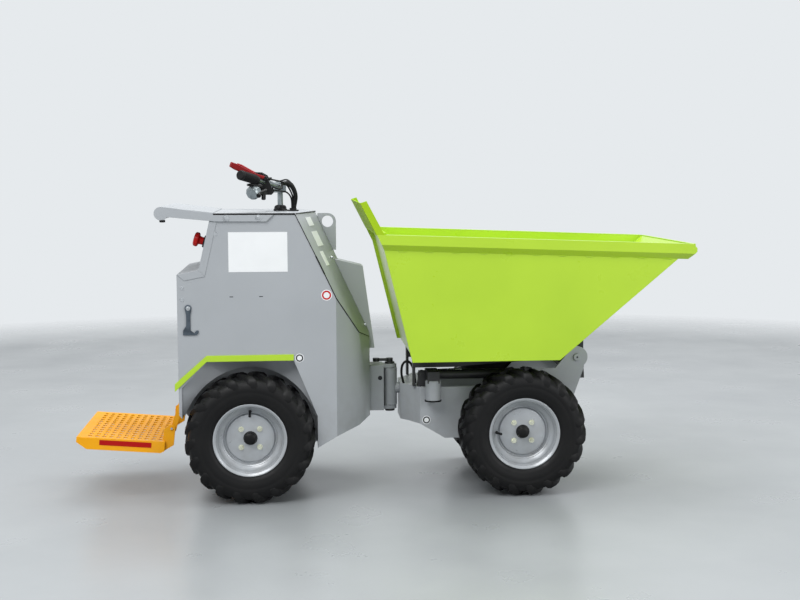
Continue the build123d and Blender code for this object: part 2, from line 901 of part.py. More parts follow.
def brake_levers():
    """Flat levers above the grips, each with a broad paddle at its end."""
    pieces = None
    for side in (-1, 1):
        foot = bar_point(side, switch_share) + Vector(0, 0, switch_size[2] / 2 - switch_drop)
        start = bar_point(side, switch_share) + Vector(0, 0, lever_rise)
        dx, dy, dz = lever_end
        end = bar_point(side, 1.0) + Vector(dx, side * dy, dz)
        length = (end - start).length
        neck, paddle = lever_neck_height / 2, lever_paddle_height / 2
        outline = [
            (-neck, -neck),
            (-neck, neck),
            (length * lever_neck_share, neck),
            (length - paddle / 2, paddle),
            (length, paddle / 2),
            (length, -paddle / 2),
            (length - paddle / 2, -paddle),
            (length * lever_neck_share, -neck),
        ]
        across = (end - start).cross(Vector(0, 0, 1)).normalized()
        frame = Plane(start - across * lever_thickness / 2, x_dir=end - start, z_dir=across)
        lever = extrude(frame * make_face(Polyline(*outline, close=True)), lever_thickness)
        piece = lever + rod(foot, start + Vector(0, 0, neck), lever_foot_diameter / 2)
        pieces = piece if pieces is None else pieces + piece
    return pieces


def horn_housing():
    """Round cup under the right-hand end of the bar, tilted back."""
    middle = bar_point(-1, horn_share) - Vector(0, 0, horn_drop)
    along = Vector(sin(radians(horn_tilt)), 0, cos(radians(horn_tilt))) * (horn_length / 2)
    return rod(middle - along, middle + along, horn_diameter / 2)


# Handlebar cables, from the right switch block over to the gland: X from the post, Y, Z.
gland_height = top_height + gland_flange[1] + gland_barrel[1]
cable_points = [
    (-28.0, -130.0, bar_height + 34),
    (8.0, -100.0, bar_height + 33),
    (38.0, -66.0, bar_height + 18),
    (55.0, -42.0, bar_height - 12),
    (51.0, -30.0, bar_height - 44),
    (51.0, -30.0, gland_height + cable_gap),
]


def cable_bundle():
    """The cables in their sleeve, one round tube."""
    return bent_rod([(column_x + dx, y, z) for dx, y, z in cable_points], cable_diameter / 2, cable_bend_share)


def cable_gland():
    """Flanged gland on the top cover that takes the cables."""
    x, y = column_x + cable_points[-1][0], cable_points[-1][1]
    flange = rod((x, y, top_height), (x, y, top_height + gland_flange[1]), gland_flange[0] / 2)
    return flange + rod((x, y, top_height + gland_flange[1]), (x, y, gland_height), gland_barrel[0] / 2)


# ---------------------------------------------------------------------------
# Centre joint
# ---------------------------------------------------------------------------
def centre_knuckle():
    """Barrel on the vertical pin with the spigot that the front frame rolls on."""
    low = bracket_bottom + lug_thickness + lug_gap
    high = bracket_top - lug_thickness - lug_gap
    z, nut_start = oscillation_height, frame_rear + bearing_length + spigot_nut_gap
    nut_end = nut_start + spigot_nut_height
    barrel = rod((0, 0, low), (0, 0, high), knuckle_diameter / 2)
    spigot = rod((0, 0, z), (nut_end, 0, z), spigot_diameter / 2)
    nut = rod((nut_start, 0, z), (nut_end, 0, z), spigot_nut_diameter / 2)
    bore = rod((0, 0, low - plate), (0, 0, high + plate), pin_diameter / 2 + running_gap)
    return barrel + spigot + nut - bore


def steering_arm():
    """Arm from the knuckle that the drag link pulls, over the upper lug."""
    half = arm_eye_height / 2
    z = bracket_top + pin_head_height + arm_gap + half
    solid = rod((-arm_length, 0, z), (0, 0, z), arm_rod / 2)
    for x in (-arm_length, 0):
        solid = solid + rod((x, 0, z - half), (x, 0, z + half), arm_eye_diameter / 2)
    return solid


# ---------------------------------------------------------------------------
# Front frame
# ---------------------------------------------------------------------------
def front_chassis():
    """Two side plates with rounded heads, a faceted back, a deck and a floor."""
    half = frame_width / 2
    inside = half - plate
    head_rear, head_ahead, head_rise = head_top
    floor_rear, floor_front = frame_shoulder + frame_floor_rear, front_axle_x + frame_floor_front
    outline = [
        (frame_shoulder, frame_top),
        (hinge_x - frame_ramp[0], frame_top),
        (hinge_x - frame_ramp[1], frame_front_top),
        (hinge_x - frame_neck, frame_front_top),
        (hinge_x - head_rear, hinge_height + head_rise),
        (hinge_x + head_ahead, hinge_height + head_rise),
        (hinge_x + head_front[0], hinge_height - head_front[1]),
        (hinge_x - head_foot[0], hinge_height - head_foot[1]),
        (floor_front, frame_bottom),
        (floor_rear, frame_bottom),
        (frame_shoulder, frame_bottom + frame_corner),
    ]
    one = side_plate(outline, inside, half) + rod_y(hinge_x, hinge_height, inside, half, head_radius)
    facet_x, facet_y = frame_facet
    ends = [(frame_rear, facet_inner_y), (facet_x, facet_y), (frame_shoulder, half)]
    behind = [(x + plate, y - plate / 2) for x, y in ends[:2]] + [(frame_shoulder + plate, half)]
    plan = [(x, -y) for x, y in reversed(ends)] + ends
    plan = plan + [(x, y) for x, y in reversed(behind)] + [(x, -y) for x, y in behind]
    back = plan_plate(plan, frame_bottom + frame_corner, frame_top)
    deck_plan = [(x, -y) for x, y in reversed(ends)] + ends
    deck_plan = deck_plan + [(frame_shoulder + deck_depth, half), (frame_shoulder + deck_depth, -half)]
    bearing_end = frame_rear + bearing_length
    nut_half = spigot_nut_diameter / 2 + 4 * lug_gap + body_sheet
    deck = plan_plate(deck_plan, frame_top - plate, frame_top)
    deck = deck - block(bearing_end, frame_shoulder + deck_depth + plate, -nut_half, nut_half, 0, big)
    floor = block(floor_rear, floor_front, -inside, inside, frame_bottom, frame_bottom + plate)
    rear, front, depth = cross_member
    cross = block(hinge_x - rear, hinge_x - front, -inside, inside, frame_top - depth, frame_top)
    z, beside = oscillation_height, half + plate
    bearing = rod((frame_rear, 0, z), (bearing_end, 0, z), bearing_diameter / 2)
    bearing = bearing & block(frame_rear, bearing_end + plate, -half, half, 0, frame_top)
    solid = both_sides(one) + back + deck + floor + cross + bearing
    bore = spigot_diameter / 2 + running_gap
    solid = solid - rod((frame_rear - plate, 0, z), (bearing_end + plate, 0, z), bore)
    solid = solid - rod_y(hinge_x, hinge_height, -beside, beside, hinge_pin_diameter / 2)
    solid = solid - rod_y(front_axle_x, axle_height, -beside, beside, spindle_diameter / 2 + axle_bore_gap)
    return solid - axle_housing(front_axle_x, inside)


def tub_hinge_pin():
    """Pin that the skip tips on, held in the frame's two heads."""
    reach = frame_width / 2 + hinge_pin_overhang
    return rod_y(hinge_x, hinge_height, -reach, reach, hinge_pin_diameter / 2)


def tub_rest():
    """Posts that carry the rear ends of the skip's rails."""
    top = tub_floor_height - rail_depth_rear - rest_gap
    half = tub_rail_width / 2 - rest_inset
    back = tub_floor_rear + rest_from_floor
    return both_sides(block(back, back + tub_rest_plate, tub_rail_y - half, tub_rail_y + half, frame_top, top))


# ---------------------------------------------------------------------------
# Skip
# ---------------------------------------------------------------------------
tub_lip_height = tub_wall_top - tub_front_drop
tub_outline = [
    (tub_rear_top_x, tub_wall_top),
    (tub_floor_rear, tub_floor_height),
    (tub_floor_front, tub_floor_height),
    (tub_lip, tub_lip_height),
]


def beyond(start, end, reach):
    """The point on a line past its end by a reach."""
    length = hypot(end[0] - start[0], end[1] - start[1])
    share = 1 + reach / length
    return (start[0] + (end[0] - start[0]) * share, start[1] + (end[1] - start[1]) * share)


def tub_shell():
    """Floor, rear wall set in between the sides, front chute and two flat sides, open at the top."""
    top, foot, toe, lip = inset_outline(tub_outline, tub_sheet)
    top, foot = (top[0] + tub_rear_inset, top[1]), (foot[0] + tub_rear_inset, foot[1])
    load_space = [beyond(foot, top, tub_width), foot, toe, beyond(toe, lip, tub_width)]
    edge_top, edge_foot = beyond(*tub_outline[1::-1], tub_width), beyond(*tub_outline[:2], tub_width)
    behind_wall = [
        (edge_top[0] + tub_rear_inset, edge_top[1]),
        (edge_foot[0] + tub_rear_inset, edge_foot[1]),
        (edge_foot[0] - tub_width, edge_foot[1]),
        (edge_top[0] - tub_width, edge_top[1]),
    ]
    inside = tub_half - tub_sheet
    solid = side_plate(tub_outline, -tub_half, tub_half) - side_plate(load_space, -inside, inside)
    return solid - side_plate(behind_wall, -inside, inside)


def edge_height(x):
    """Height of the side's top edge, which falls toward the lip."""
    return tub_wall_top + (tub_lip_height - tub_wall_top) * (x - tub_rear_top_x) / (tub_lip - tub_rear_top_x)


def rim_outline():
    """Side view of the folded edge: cut on the slant at the rear, rounded off at the lip."""
    depth, t = rim_face + rim_chamfer, rim_sheet_thickness
    rear_top = (tub_rear_top_x - rim_rear_reach, tub_wall_top + t)
    rear_foot = (tub_rear_top_x + depth * tan(radians(tub_rear_lean)), tub_wall_top - depth)
    front = tub_lip + lip_out
    (upper_in, upper_down), (lower_in, lower_down) = rim_nose
    nose_foot = (front - lower_in, tub_lip_height - lower_down - lower_in)
    return [
        beyond(rear_foot, rear_top, rim_overrun),
        beyond(rear_top, rear_foot, rim_overrun),
        beyond((front, tub_lip_height - lower_down), nose_foot, rim_overrun),
        (front, tub_lip_height - lower_down),
        (front, tub_lip_height - upper_down),
        (front - upper_in, tub_lip_height + t),
        (front - upper_in, tub_wall_top + rim_overrun),
    ]


def tub_rim():
    """Folded edge along both sides, and the lip's edge doubled below."""
    slope = edge_height(1.0) - edge_height(0.0)
    t, out = rim_sheet_thickness, tub_half + rim_out
    start_x, strip_x = tub_rear_top_x - rim_overrun, tub_lip - 2 * rim_sheet_thickness
    section = [
        (tub_half, -rim_face - rim_chamfer),
        (out, -rim_face),
        (out, t),
        (tub_half - tub_sheet, t),
        (tub_half - tub_sheet, 0.0),
        (out - t, 0.0),
        (out - t, -rim_face + t / 4),
        (tub_half, -rim_face - rim_chamfer + t + t / 4),
    ]
    frame = Plane((start_x, 0, edge_height(start_x)), x_dir=(0, 1, 0), z_dir=(1, 0, slope))
    length = (tub_lip + rim_overrun - start_x) * hypot(1, slope)
    one = extrude(frame * make_face(Polyline(*section, close=True)), length)
    sides = both_sides(one) & side_plate(rim_outline(), -out - t, out + t)
    lip, back = (tub_lip, tub_lip_height), beyond(tub_outline[2], tub_outline[3], -lip_fold)
    strip = side_plate([
        lip,
        back,
        (back[0] + lip_out, back[1] - lip_out),
        (tub_lip + lip_out, tub_lip_height - lip_out),
        (tub_lip + lip_out, tub_lip_height + t),
        (strip_x, tub_lip_height + t),
        (strip_x, edge_height(strip_x)),
    ], -tub_half, tub_half)
    return sides + strip


def tub_guard():
    """Raised plate behind the skip, leaning back, with a ledge and a flange at each side."""
    t, lean = rim_sheet_thickness, tan(radians(guard_lean))
    foot = tub_rear_top_x - guard_offset
    low = edge_height(foot) + t
    sheet_foot, wing_foot = foot + tub_sheet, foot + guard_flange_foot
    sheet_rise = guard_height - guard_top_fall
    sheet_top = (foot - sheet_rise * lean, low + sheet_rise)
    wing_top = (foot - guard_height * lean + guard_flange_top, low + guard_height)
    half, inside = tub_half + rim_out, tub_half - tub_sheet
    wall_front = tub_rear_top_x + tub_rear_inset + 2 * tub_sheet
    sheet = side_plate([
        (foot, low),
        (sheet_foot, edge_height(sheet_foot) + t),
        (sheet_top[0] + tub_sheet, sheet_top[1]),
        sheet_top,
    ], -half, half)
    ledge = side_plate([
        (foot, edge_height(foot)),
        (wall_front, edge_height(wall_front)),
        (wall_front, low + tub_sheet),
        (foot, low + tub_sheet),
    ], -inside, inside)
    wing = side_plate([
        (foot, low),
        (wing_foot, edge_height(wing_foot) + t),
        wing_top,
        sheet_top,
    ], half - tub_sheet, half)
    return sheet + ledge + both_sides(wing)


def tub_rails():
    """Two black rails under the floor; each ends in a forked hinge lug with a lever below it."""
    low_rear = tub_floor_height - rail_depth_rear
    low_front = tub_floor_height - rail_depth_front
    start, lug_front = tub_floor_rear + rest_from_floor, hinge_x + tub_lug_ahead[0]
    behind, ahead, below = tub_lug
    outline = [
        (start, tub_floor_height),
        (start, low_rear),
        (tub_floor_rear + tub_rail_flat, low_rear),
        (hinge_x - tub_rail_neck, low_front),
        (act_eye[0] - behind, act_eye[1] - below),
        (act_eye[0] + ahead, act_eye[1] - below),
        (lug_front, hinge_height - tub_lug_ahead[1]),
        (lug_front, tub_floor_height + (lug_front - tub_floor_front) * chute_slope),
        (tub_floor_front, tub_floor_height),
    ]
    y0, y1 = tub_rail_y - tub_rail_width / 2, tub_rail_y + tub_rail_width / 2
    one = side_plate(outline, y0, y1)
    fork_rear, fork_front, fork_below = fork_reach
    fork = block(act_eye[0] - fork_rear, act_eye[0] + fork_front, y0 + tub_rail_wall, y1 - tub_rail_wall,
                 act_eye[1] - fork_below, hinge_height - hinge_pin_diameter / 2 - fork_gap)
    pin = rod_y(hinge_x, hinge_height, y0 - plate, y1 + plate, hinge_pin_diameter / 2 + running_gap)
    rails = both_sides(one - fork - pin)
    width, depth = tie_size
    for x in (tub_floor_rear + tie_rear, tub_floor_front - tie_front):
        rails = rails + block(x, x + width, -y0, y0, tub_floor_height - depth, tub_floor_height)
    return rails


chute_slope = (tub_lip_height - tub_floor_height) / (tub_lip - tub_floor_front)


# ---------------------------------------------------------------------------
# Tipping actuator
# ---------------------------------------------------------------------------
act_length = hypot(act_eye[0] - act_base[0], act_eye[1] - act_base[1])


def act_point(distance):
    """A point on the actuator's line, a distance from the base pin."""
    share = distance / act_length
    x = act_base[0] + (act_eye[0] - act_base[0]) * share
    z = act_base[1] + (act_eye[1] - act_base[1]) * share
    return (x, act_y, z)


def actuator_body():
    """Base eye, gearbox, outer tube and the motor that hangs beside the frame."""
    x, z, half = act_base[0], act_base[1], act_eye_width / 2
    eye = rod_y(x, z, act_y - half, act_y + half, act_eye_diameter / 2)
    neck = block(x, x + act_neck[0], act_y - half, act_y + half, z - act_neck[1], z + act_neck[1])
    gearbox = block(x + gearbox_x[0], x + gearbox_x[1], motor_y - gearbox_y[0], act_y + gearbox_y[1],
                    z - gearbox_z[0], z + gearbox_z[1])
    tube = rod(act_point(act_tube_start), act_point(act_length * act_tube_share), act_tube / 2)
    hollow = rod(act_point(act_hollow_start), act_point(act_length), act_rod / 2 + running_gap)
    drop = (x + motor_x, motor_y, motor_bottom)
    motor = rod(drop, (x + motor_x, motor_y, z - motor_overlap), motor_diameter / 2)
    bore = rod_y(x, z, act_y - act_eye_width, act_y + act_eye_width, act_pin_diameter / 2 + running_gap)
    return eye + neck + gearbox + tube + motor - hollow - bore


def actuator_rod():
    """Bright rod with its eye, which sits in the fork of the skip's lug."""
    half = act_eye_width / 2
    start = act_length * act_tube_share - act_rod_overlap
    shaft = rod(act_point(start), act_point(act_length - act_rod_eye_gap), act_rod / 2)
    eye = rod_y(act_eye[0], act_eye[1], act_y - half, act_y + half, act_eye_diameter / 2)
    reach = 2 * act_eye_width
    return shaft + eye - rod_y(act_eye[0], act_eye[1], act_y - reach, act_y + reach, act_pin_diameter / 2)


def actuator_mount():
    """Two ears on the frame's deck and the base pin."""
    half, (rear, behind, ahead) = act_eye_width / 2, mount_ear_x
    pieces = None
    for y in (act_y - half - mount_ear_gap - mount_ear_plate, act_y + half + mount_ear_gap):
        ear = side_plate([
            (frame_shoulder - rear, frame_top),
            (act_base[0] + ahead, frame_top),
            (act_base[0] + ahead, act_base[1] + mount_ear_rise),
            (act_base[0] - behind, act_base[1] + mount_ear_rise),
        ], y, y + mount_ear_plate)
        pieces = ear if pieces is None else pieces + ear
    reach = half + mount_pin_overhang
    return pieces + rod_y(act_base[0], act_base[1], act_y - reach, act_y + reach, act_pin_diameter / 2)


# ---------------------------------------------------------------------------
# Wheels
# ---------------------------------------------------------------------------
def revolve_about_axle(points, x, y, side):
    """A radius-offset outline turned about an axle; offset grows outwards."""
    face = make_face(Polyline(*points, close=True))
    frame = Plane((x, y, axle_height), x_dir=(0, 0, 1), z_dir=(-side, 0, 0))
    return revolve(frame * face, Axis((x, y, axle_height), (0, 1, 0)))


def tyre(x, side):
    """Tyre casing: flat tread, round shoulders, open towards the rim."""
    r, w, t = tyre_diameter / 2, tyre_width / 2, tyre_side_thickness
    bead = rim_barrel_diameter / 2 + bead_gap
    flange = rim_flange_diameter / 2 + bead_gap
    seat, lip = w - rim_seat_inset - bead_gap, w - rim_inset - rim_flange_step - bead_gap
    side_low, side_high = bead + tyre_bead_height, r - tyre_shoulder_drop
    shoulder, tread = w - tyre_shoulder_width, w - tyre_shoulder_drop
    outer = [
        (bead, seat),
        (flange, lip),
        (flange + tyre_side_thickness - 4, w - tyre_side_thickness + 4),
        (side_low, w),
        (side_high, w),
        (r - tyre_shoulder_step, shoulder),
        (r, tread),
    ]
    inner = [
        (r - 2 * t, tread),
        (side_high, w - t),
        (side_low, w - t),
        (bead, seat - t),
    ]
    outline = outer + [(a, -b) for a, b in reversed(outer)]
    outline = outline + [(a, -b) for a, b in reversed(inner)] + inner
    return revolve_about_axle(outline, x, side * wheel_y, side)


def rim(x, side):
    """Steel rim with its dished disc, hub and cap."""
    w, s = tyre_width / 2, rim_sheet
    flange, barrel = rim_flange_diameter / 2, rim_barrel_diameter / 2
    well = barrel - rim_well_depth
    edge, shoulder, seat = w - rim_inset, w - rim_inset - rim_flange_step, w - rim_seat_inset
    drop, floor = w - rim_well_inset, w - rim_well_inset - rim_well_slope
    outside = [(flange, edge), (flange, shoulder), (barrel, seat), (barrel, drop), (well, floor)]
    inside = [(well - s, floor + 2), (barrel - s, drop + 2), (barrel - s, seat + 2), (flange - 8, edge)]
    barrel_outline = outside + [(a, -b) for a, b in reversed(outside)]
    barrel_outline = barrel_outline + [(a, -b) for a, b in reversed(inside)] + inside
    bore, face = spindle_diameter / 2 + running_gap, hub_diameter / 2
    near, far = disc_offset, disc_offset + disc_sheet
    low, ring_foot = disc_offset - disc_dish, well - rim_well_depth - s
    disc_outline = [
        (bore, near), (face, near), (face + disc_dish + 2, low), (ring_foot, low),
        (well - s + 1, disc_foot_offset), (well - s + 1, disc_foot_offset + disc_sheet),
        (ring_foot, low + disc_sheet), (face + disc_dish + 4, low + disc_sheet), (face + 2, far), (bore, far),
    ]
    hub_outline = [
        (bore, near - hub_depth), (hub_barrel_diameter / 2, near - hub_depth),
        (hub_barrel_diameter / 2, near), (bore, near),
    ]
    cap = hub_cap_diameter / 2
    cap_outline = [
        (0, far), (cap, far), (cap, far + hub_cap_height - hub_cap_bevel),
        (cap - hub_cap_bevel, far + hub_cap_height), (0, far + hub_cap_height),
    ]
    y = side * wheel_y
    solid = revolve_about_axle(barrel_outline, x, y, side)
    for outline in (disc_outline, hub_outline, cap_outline):
        solid = solid + revolve_about_axle(outline, x, y, side)
    for index in range(wheel_bolt_count):
        angle = radians(45 + 360 / wheel_bolt_count * index)
        bx = x + wheel_bolt_circle / 2 * cos(angle)
        bz = axle_height + wheel_bolt_circle / 2 * sin(angle)
        reach = 2 * disc_sheet
        solid = solid - rod_y(bx, bz, y + side * (near - reach), y + side * (far + reach), wheel_bolt_hole / 2)
    return solid


# ---------------------------------------------------------------------------
# Writing the pieces
# ---------------------------------------------------------------------------
def all_pieces():
    """Every piece by its node name, still measured from the articulation pin."""
    pieces = {
        "rear_chassis": rear_chassis(),
        "side_panel_right": side_panel(-1),
        "side_panel_left": side_panel(1),
        "top_cover": top_cover(),
        "dash_panel": dash_panel(),
        "rear_deck": rear_deck(),
        "rear_panel": rear_panel(),
        "front_cover": front_cover(),
        "nose_box": nose_box(),
        "lifting_eye": lifting_eye(),
        "arch_trim_right": arch_trim(-1),
        "arch_trim_left": arch_trim(1),
        "grab_rail": grab_rail(),
        "stop_button": stop_button(),
        "latch_lever": latch_lever(),
        "wheel_arch_right": wheel_arch(-1),
        "wheel_arch_left": wheel_arch(1),
        "battery_pack": battery_pack(),
        "rear_axle": rear_axle(),
        "column_collar": column_collar(),
        "cable_gland": cable_gland(),
        "rear_bracket": rear_bracket(),
        "articulation_pin": articulation_pin(),
        "step_bracket": step_bracket(),
        "step_deck": step_deck(),
        "step_ears": step_ears(),
        "steering_post": steering_post(),
        "handlebar": handlebar(),
        "grips": grips(),
        "control_blocks": control_blocks(),
        "brake_levers": brake_levers(),
        "horn_housing": horn_housing(),
        "cable_bundle": cable_bundle(),
        "centre_knuckle": centre_knuckle(),
        "steering_arm": steering_arm(),
        "front_chassis": front_chassis(),
        "front_axle": front_axle(),
        "tub_hinge_pin": tub_hinge_pin(),
        "tub_rest": tub_rest(),
        "actuator_mount": actuator_mount(),
        "tub_shell": tub_shell(),
        "tub_rim": tub_rim(),
        "tub_guard": tub_guard(),
        "tub_rails": tub_rails(),
        "actuator_body": actuator_body(),
        "actuator_rod": actuator_rod(),
    }
    for place, x in (("rear", rear_axle_x), ("front", front_axle_x)):
        for hand, side in (("right", -1), ("left", 1)):
            pieces[f"tyre_{place}_{hand}"] = tyre(x, side)
            pieces[f"rim_{place}_{hand}"] = rim(x, side)
    return pieces


def write_pieces():
    """One STEP file for each piece, moved to the machine's own origin."""
    os.makedirs("parts", exist_ok=True)
    for name, piece in all_pieces().items():
        export_step(Pos(origin_shift, 0, 0) * piece, os.path.join("parts", f"{name}.step"))


if __name__ == "__main__":
    write_pieces()
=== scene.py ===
"""Battery-electric articulated site dumper with a tipping skip and a stand-on step.

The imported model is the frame. Each sub-assembly below takes the pieces of that
model, gives them folded, welded or moulded edges and a finish, and fits the parts
that a workshop adds afterwards: tread, bolts, cables, weld beads and plates.
Sizes are millimetres from the articulation pin: X forward, Y to the left, Z up.
"""

import json
import logging
from contextlib import contextmanager
from dataclasses import dataclass, field
from enum import Enum
from math import atan2, cos, pi, radians, sin
from typing import Iterable, Iterator, Sequence, Union

import bmesh
import bpy
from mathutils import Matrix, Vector


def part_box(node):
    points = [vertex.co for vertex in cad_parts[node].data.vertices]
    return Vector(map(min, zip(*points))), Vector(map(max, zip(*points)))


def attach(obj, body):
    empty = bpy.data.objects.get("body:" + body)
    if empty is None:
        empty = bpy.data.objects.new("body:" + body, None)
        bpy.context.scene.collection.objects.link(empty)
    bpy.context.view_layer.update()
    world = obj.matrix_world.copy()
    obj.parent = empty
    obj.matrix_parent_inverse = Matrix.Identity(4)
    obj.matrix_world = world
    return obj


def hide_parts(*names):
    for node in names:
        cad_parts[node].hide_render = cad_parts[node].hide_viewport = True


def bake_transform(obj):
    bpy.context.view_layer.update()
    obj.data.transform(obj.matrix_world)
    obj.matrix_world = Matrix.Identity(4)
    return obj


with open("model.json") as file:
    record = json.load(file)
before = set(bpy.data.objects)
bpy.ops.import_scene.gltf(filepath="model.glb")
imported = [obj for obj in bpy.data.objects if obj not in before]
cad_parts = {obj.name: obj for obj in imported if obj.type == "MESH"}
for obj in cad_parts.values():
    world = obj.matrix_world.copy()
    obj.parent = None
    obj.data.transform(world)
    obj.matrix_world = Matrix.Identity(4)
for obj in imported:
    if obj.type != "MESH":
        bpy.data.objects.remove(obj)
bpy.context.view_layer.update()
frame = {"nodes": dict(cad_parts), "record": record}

logging.basicConfig(level=logging.INFO, format="%(message)s")
LOG = logging.getLogger("dumper")

MM = 0.001
PIN = (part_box("articulation_pin")[0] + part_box("articulation_pin")[1]) / 2
BODY_OF = {node: body for body, nodes in frame["record"]["behaviour"]["bodies"].items() for node in nodes}

Colour = tuple[float, float, float]
Point = Union[Vector, tuple[float, float, float]]
Path = Sequence[Point]
Profile = Sequence[tuple[float, float]]
Body = Union[str, tuple[str, str]]
Socket = bpy.types.NodeSocket
Inputs = dict[Union[int, str], object]

UP = (0, 0, 1)
SIDES = (("right", -1), ("left", 1))
# Metres below which two points are one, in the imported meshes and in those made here.
PACKED_MERGE = 0.00001
OWN_MERGE = 0.000002
# Folds over these angles are bevelled, stay sharp, or count as flat.
BEVEL_FOLD = radians(30.0)
SHARP_FOLD = radians(32.0)
FLAT_FOLD = radians(0.5)
# Seeds and limits of the random draws, and the step of a weld bead as a share of its width.
FASTENER_SEED, FASTENER_TURN = 11, 1.047
BEAD_SEED, BEAD_SIZES, BEAD_STEP = 5, (0.82, 1.08), 0.7


def place(x: float, y: float, z: float) -> Vector:
    """A point in metres of the frame from millimetres off the articulation pin."""
    return Vector((PIN.x + x * MM, y * MM, z * MM))


def corners(node: str) -> tuple[Vector, Vector]:
    """A node's lowest and highest corner in millimetres from the articulation pin.

    Args:
        node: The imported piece's name.
    Returns:
        The two corners.
    """
    low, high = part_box(node)
    shift = Vector((PIN.x, 0.0, 0.0))
    return (low - shift) / MM, (high - shift) / MM


def linear(red: float, green: float, blue: float) -> tuple[float, float, float, float]:
    """A screen colour of 0 to 255 as the shader's linear colour, opaque.

    Args:
        red: Red.
        green: Green.
        blue: Blue.
    Returns:
        Red, green, blue and full cover, in linear light.
    """
    def channel(value: float) -> float:
        """One channel from its screen value to linear light."""
        value = value / 255.0
        return value / 12.92 if value <= 0.04045 else ((value + 0.055) / 1.055) ** 2.4
    return channel(red), channel(green), channel(blue), 1.0


class Nodes:
    """A node tree that is built by naming what goes into each node."""

    def __init__(self, tree: bpy.types.NodeTree) -> None:
        """Takes the tree."""
        self.tree = tree

    def feed(self, node: bpy.types.Node, inputs: Inputs) -> None:
        """Links a socket, or each of a list, to an input of a node, or sets the input's value.

        Args:
            node: The node.
            inputs: A socket, a list of sockets or a value for each input, by name or number.
        """
        for label, value in inputs.items():
            for source in value if isinstance(value, list) else [value]:
                if isinstance(source, Socket):
                    self.tree.links.new(source, node.inputs[label])
                else:
                    node.inputs[label].default_value = source

    def add(self, kind: str, inputs: Inputs, **settings: object) -> bpy.types.Node:
        """Adds a node.

        Args:
            kind: The node's type.
            inputs: For each of its inputs, a socket to link or a value to set.
            settings: Its other settings.
        Returns:
            The node.
        """
        node = self.tree.nodes.new(kind)
        for label, value in settings.items():
            setattr(node, label, value)
        self.feed(node, inputs)
        return node

    def get(self, kind: str, inputs: Inputs, output: Union[int, str] = 0,
            **settings: object) -> Socket:
        """Adds a node and gives one of its outputs."""
        return self.add(kind, inputs, **settings).outputs[output]

    def math(self, operation: str, *values: Union[Socket, float]) -> Socket:
        """The result of an operation on sockets and numbers."""
        return self.get("ShaderNodeMath", dict(enumerate(values)), operation=operation)


# ---------------------------------------------------------------------------
# Finishes
# ---------------------------------------------------------------------------
DUST = (118, 111, 99)


class Desk(Nodes):
    """Lays out the shader nodes of one material."""

    def __init__(self, name: str) -> None:
        """Starts a material with its shader and its object coordinates.

        Args:
            name: The material's name.
        """
        self.material = bpy.data.materials.new(name)
        self.material.use_nodes = True
        super().__init__(self.material.node_tree)
        self.shader = self.tree.nodes["Principled BSDF"]
        self.where = self.get("ShaderNodeTexCoord", {}, "Object")

    def noise(self, scale: float, detail: float) -> Socket:
        """Noise over the piece, in patches to a metre and octaves of finer noise."""
        return self.get("ShaderNodeTexNoise", {
            "Vector": self.where, "Scale": scale, "Detail": detail, "Roughness": 0.55}, "Fac")

    def spread(self, value: Socket, low: float, high: float, first: float = 0.0, last: float = 1.0) -> Socket:
        """A value between two levels spread, without overshoot, over a new range."""
        return self.get("ShaderNodeMapRange", {
            "Value": value, "From Min": low, "From Max": high, "To Min": first, "To Max": last}, "Result")

    def mix(self, factor: Socket, first: object, second: object) -> Socket:
        """Two linear colours, or their sockets, mixed by the share of the second."""
        return self.get("ShaderNodeMix", {"Factor": factor, 6: first, 7: second}, 2, data_type="RGBA")

    def relief(self, value: Socket, depth: float, strength: float,
               under: Union[Socket, None] = None) -> Socket:
        """Turns a value into relief.

        Args:
            value: Height from 0 to 1.
            depth: Height in metres at 1.
            strength: How much of it shows.
            under: The normal that it lies on.
        Returns:
            The new normal's socket.
        """
        inputs = {"Height": value, "Distance": depth, "Strength": strength}
        if under:
            inputs["Normal"] = under
        return self.get("ShaderNodeBump", inputs, "Normal")

    def finish(self, **inputs: object) -> bpy.types.Material:
        """Feeds the shader and gives the material; a name's underscores stand for spaces."""
        self.feed(self.shader, {label.replace("_", " "): value for label, value in inputs.items()})
        return self.material


@dataclass(frozen=True)
class Paint:
    """Sprayed or powder-coated steel.

    Args:
        name: The material's name.
        slot: The record's slot; not used.
        colour: Screen colour when clean.
        shade: Screen colour of the thin patches.
        rough: Least and most roughness.
        coat: Weight of the clear gloss on top.
        metallic: Share of metal flake.
        specular: Strength of the paint's own shine.
        peel: Depth of the orange peel, in metres.
        dust: Share of dust at the ground.
        dust_top: Height where the dust ends, in metres.
    """

    name: str
    slot: str
    colour: Colour
    shade: Colour
    rough: tuple[float, float] = (0.38, 0.5)
    coat: float = 0.0
    metallic: float = 0.0
    specular: float = 0.5
    peel: float = 0.00006
    dust: float = 0.25
    dust_top: float = 0.55

    def material(self) -> bpy.types.Material:
        """Makes the material.

        Returns:
            The material.
        """
        desk = Desk(self.name)
        cloud = desk.spread(desk.noise(2.6, 3.0), 0.35, 0.7)
        paint = desk.mix(cloud, linear(*self.colour), linear(*self.shade))
        height = desk.get("ShaderNodeSeparateXYZ", {"Vector": desk.where}, "Z")
        low = desk.spread(height, 0.0, self.dust_top, self.dust, 0.0)
        speck = desk.spread(desk.noise(23.0, 6.0), 0.42, 0.66)
        fine = desk.relief(desk.noise(520.0, 2.0), self.peel, 0.5)
        return desk.finish(
            Base_Color=desk.mix(desk.math("MULTIPLY", low, speck), paint, linear(*DUST)),
            Roughness=desk.spread(desk.noise(14.0, 5.0), 0.3, 0.7, *self.rough),
            Normal=desk.relief(desk.noise(7.0, 2.0), 0.0016, 0.12, fine),
            Metallic=self.metallic, Specular_IOR_Level=self.specular,
            Coat_Weight=self.coat, Coat_Roughness=0.12)


